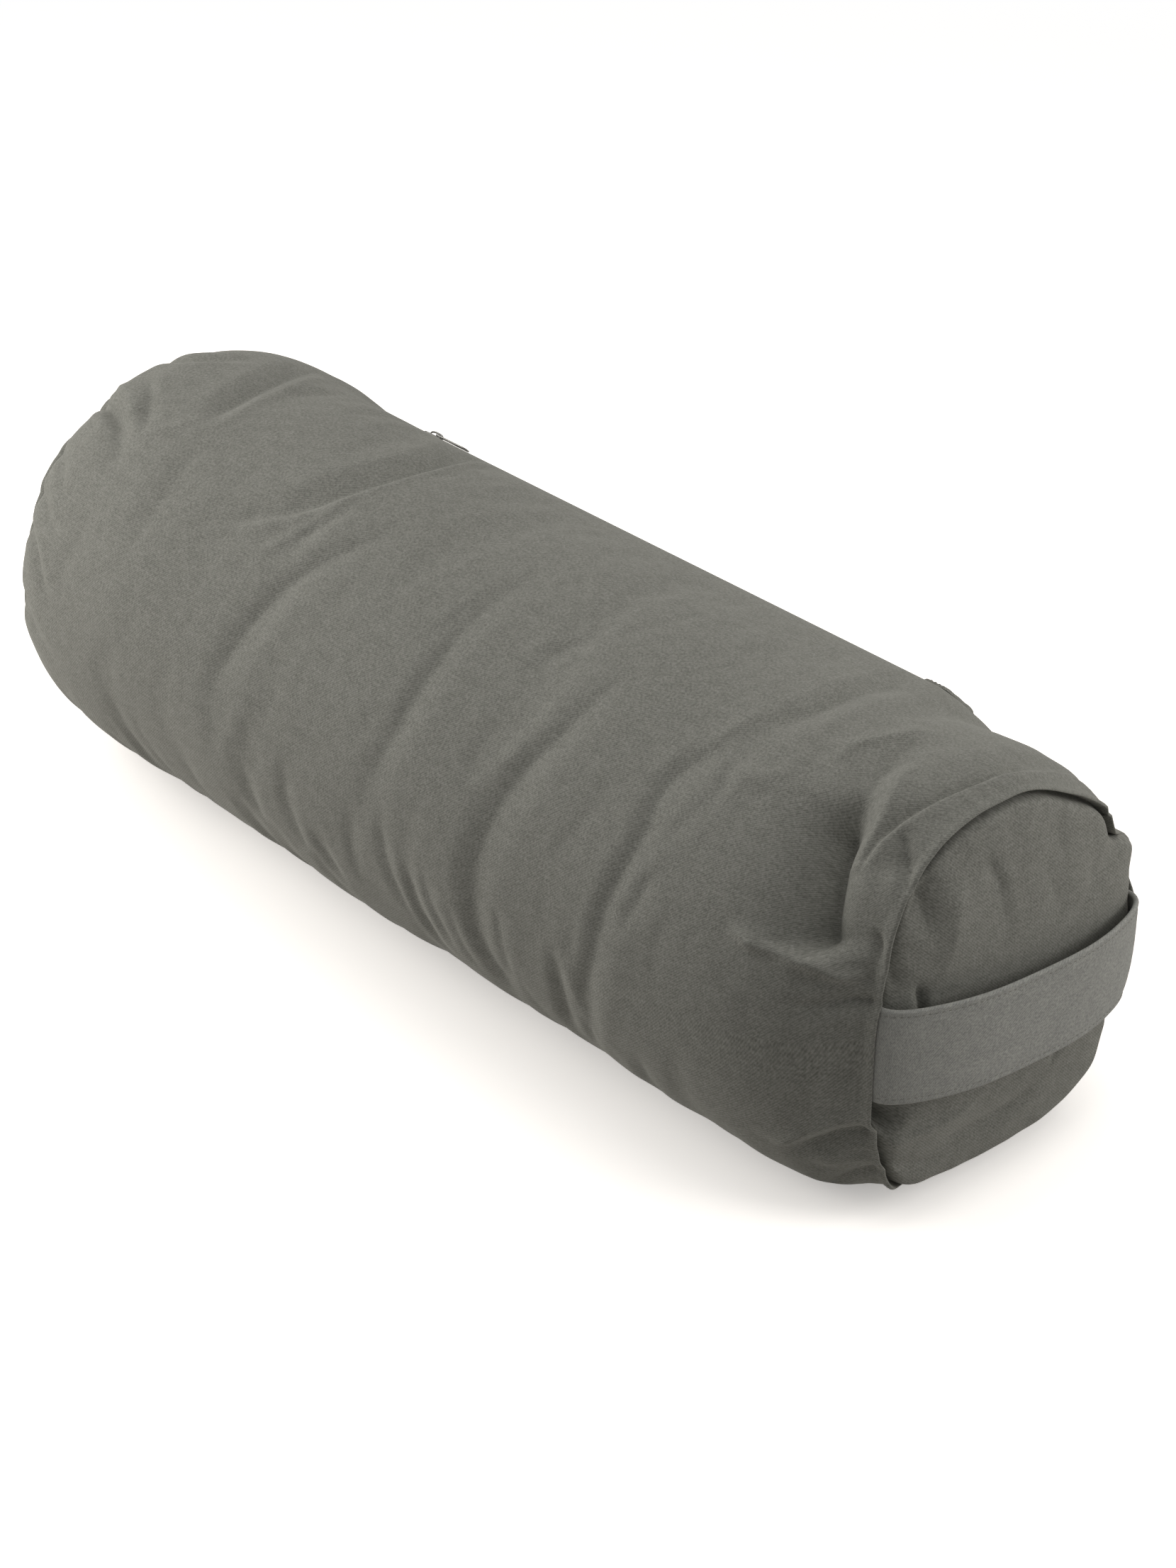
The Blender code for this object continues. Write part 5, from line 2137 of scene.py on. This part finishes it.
@dataclass(frozen=True)
class Studio:
    """The white sweep, the soft boxes and the camera at the photograph's angle."""

    azimuth: float = 48.03
    elevation: float = 30.23
    distance: float = 2.137
    target: tuple[float, float, float] = (0.0253, 0.0147, 0.0774)
    lens: float = 95.0
    floor_size: float = 14.0

    def camera(self) -> None:
        """Places the camera where the photograph was taken from, with its lens."""
        a, e = math.radians(self.azimuth), math.radians(self.elevation)
        back = Vector((math.sin(a) * math.cos(e), -math.cos(a) * math.cos(e), math.sin(e)))
        data = bpy.data.cameras.new("studio_camera")
        data.sensor_fit = "VERTICAL"
        data.sensor_height = 36.0
        data.lens = self.lens
        data.clip_start = 0.05
        data.clip_end = 60.0
        made = placed("studio_camera", data)
        made.location = Vector(self.target) + back * self.distance
        made.rotation_euler = back.to_track_quat("Z", "Y").to_euler()
        bpy.context.scene.camera = made

    def softbox(self, name: str, place: tuple[float, float, float], size: float, watts: float) -> None:
        """Hangs one square soft box that faces the bolster.

        Args:
            name: The lamp's name.
            place: Where it hangs.
            size: The length of its side.
            watts: Its power.
        """
        data = bpy.data.lights.new(name, "AREA")
        data.shape = "SQUARE"
        data.size = size
        data.energy = watts
        data.color = linear("#fffdfa")[:3]
        made = placed(name, data)
        made.location = place
        made.rotation_euler = (Vector(place) - Vector((0, 0, 0.1))).to_track_quat("Z", "Y").to_euler()

    def seen_white(self, tree: NodeTree) -> NodeSocket:
        """Where a ray comes from the camera, a reflection or through glass.

        Args:
            tree: The node tree that gets the nodes.

        Returns:
            1 for such rays and 0 for those that light the object.
        """
        path = add_node(tree, "ShaderNodeLightPath")
        total = path.outputs["Is Camera Ray"]
        larger = {"operation": "MAXIMUM"}
        for ray in ("Is Glossy Ray", "Is Transmission Ray"):
            total = add_node(tree, "ShaderNodeMath", larger, {0: total, 1: path.outputs[ray]}).outputs[0]
        return total

    def floor(self) -> None:
        """Lays the white sweep, which shows as white and keeps the object's shadow."""
        made, tree = new_material("studio_paper_matt")
        seen = self.seen_white(tree)
        paper = add_node(tree, "ShaderNodeBsdfDiffuse", {}, {"Color": linear("#c8c5c2")}).outputs[0]
        # What is seen of it is brighter than its light on the object, so that only the
        # close shadow stays short of white.
        glow = {"Color": linear("#fffdfb"), "Strength": 0.33}
        both = add_node(tree, "ShaderNodeEmission", {}, glow).outputs[0]
        for shade in ("#fbf8f5", "#cac7c4"):
            layer = add_node(tree, "ShaderNodeBsdfDiffuse", {}, {"Color": linear(shade)}).outputs[0]
            both = add_node(tree, "ShaderNodeAddShader", {}, {0: both, 1: layer}).outputs[0]
        # Away from the object it is plain white, as the room behind it is.
        place = add_node(tree, "ShaderNodeTexCoord").outputs["Object"]
        away = add_node(tree, "ShaderNodeVectorMath", {"operation": "LENGTH"}, {0: place}).outputs["Value"]
        far = add_node(
            tree, "ShaderNodeMapRange", {}, {"Value": away, "From Min": 0.7, "From Max": 1.5}
        ).outputs["Result"]
        plain = {"Color": (1, 1, 1, 1), "Strength": 1.0}
        white = add_node(tree, "ShaderNodeEmission", {}, plain).outputs[0]
        both = add_node(tree, "ShaderNodeMixShader", {}, {0: far, 1: both, 2: white}).outputs[0]
        mixed = add_node(tree, "ShaderNodeMixShader", {}, {0: seen, 1: paper, 2: both}).outputs[0]
        add_node(tree, "ShaderNodeOutputMaterial", {}, {"Surface": mixed})
        shape = bmesh.new()
        bmesh.ops.create_grid(shape, x_segments=8, y_segments=8, size=self.floor_size / 2)
        sweep = bmesh_piece("studio_floor", shape, made)

    def world(self) -> None:
        """Fills the room with even light, behind which the camera sees plain white."""
        world = bpy.data.worlds.new("studio_room")
        bpy.context.scene.world = world
        world.use_nodes = True
        tree = world.node_tree
        tree.nodes.clear()
        seen = self.seen_white(tree)
        lit, white = (
            add_node(tree, "ShaderNodeBackground", {}, {"Color": colour, "Strength": strength}).outputs[0]
            for colour, strength in ((linear("#fdfdfd"), 0.21), ((1, 1, 1, 1), 1.0))
        )
        mixed = add_node(tree, "ShaderNodeMixShader", {}, {0: seen, 1: lit, 2: white}).outputs[0]
        add_node(tree, "ShaderNodeOutputWorld", {}, {"Surface": mixed})

    def build(self) -> None:
        """Sets up the camera, the light and the white ground."""
        self.camera()
        self.floor()
        self.world()
        for side, place, size, watts in (
            ("overhead", (0.35, 0.25, 1.7), 1.4, 9.0),
            ("left", (-1.1, -0.75, 0.62), 1.1, 14.5),
            ("right", (1.4, 0.9, 0.8), 1.0, 5.5),
            ("low_right", (1.1, 1.4, 0.45), 0.6, 4.2),
        ):
            self.softbox(f"soft_box_{side}", place, size, watts)


def main() -> None:
    """Builds the studio and each sub-assembly in turn."""
    logging.basicConfig(level=logging.INFO, format="%(name)s: %(message)s")
    Studio().build()
    twill = COVER_TWILL.material()
    # The handle's twill is painted lighter than the cover's, as painted light where the band faces the lamps.
    pressed = HANDLE_TWILL_PAINTED_LIGHTER.material()
    thread = SEWING_THREAD.material()
    folds = CoverBody().folds
    body = CoverBody(wrinkles=PressedCloth().wrinkles(folds))
    body.build(twill)
    for panel in (HANDLE_PANEL, PLAIN_PANEL):
        panel.build(twill)
    CarryHandle().build(pressed, thread)
    chain = ZipChain()
    woven, nylon, metal = ZIP_TAPE.material(), COIL.material(), ZINC.material()
    for side, place in ((-1, "upper"), (1, "lower")):
        chain.tape(side, place, woven)
        chain.coil(side, place, nylon)
        low, high = sorted((side * 0.0010, side * 0.0036))
        chain.stop(f"zip_{place}_pressed_stop", f"zip_{place}_top_stop", -0.1943, low, high, metal)
    chain.stop("zip_bottom_pressed_stop", "zip_bottom_stop", 0.1943, -0.0036, 0.0036, metal)
    chain.end_tab(twill, thread)
    chain.top_stitches(thread)
    slider = ZipSlider()
    slider.body(metal)
    slider.pull(metal)
    InnerCushion(body).build(SHEETING.material(), FIBRE.material())
    bpy.context.scene.view_settings.view_transform = "Standard"


if __name__ == "__main__":
    main()
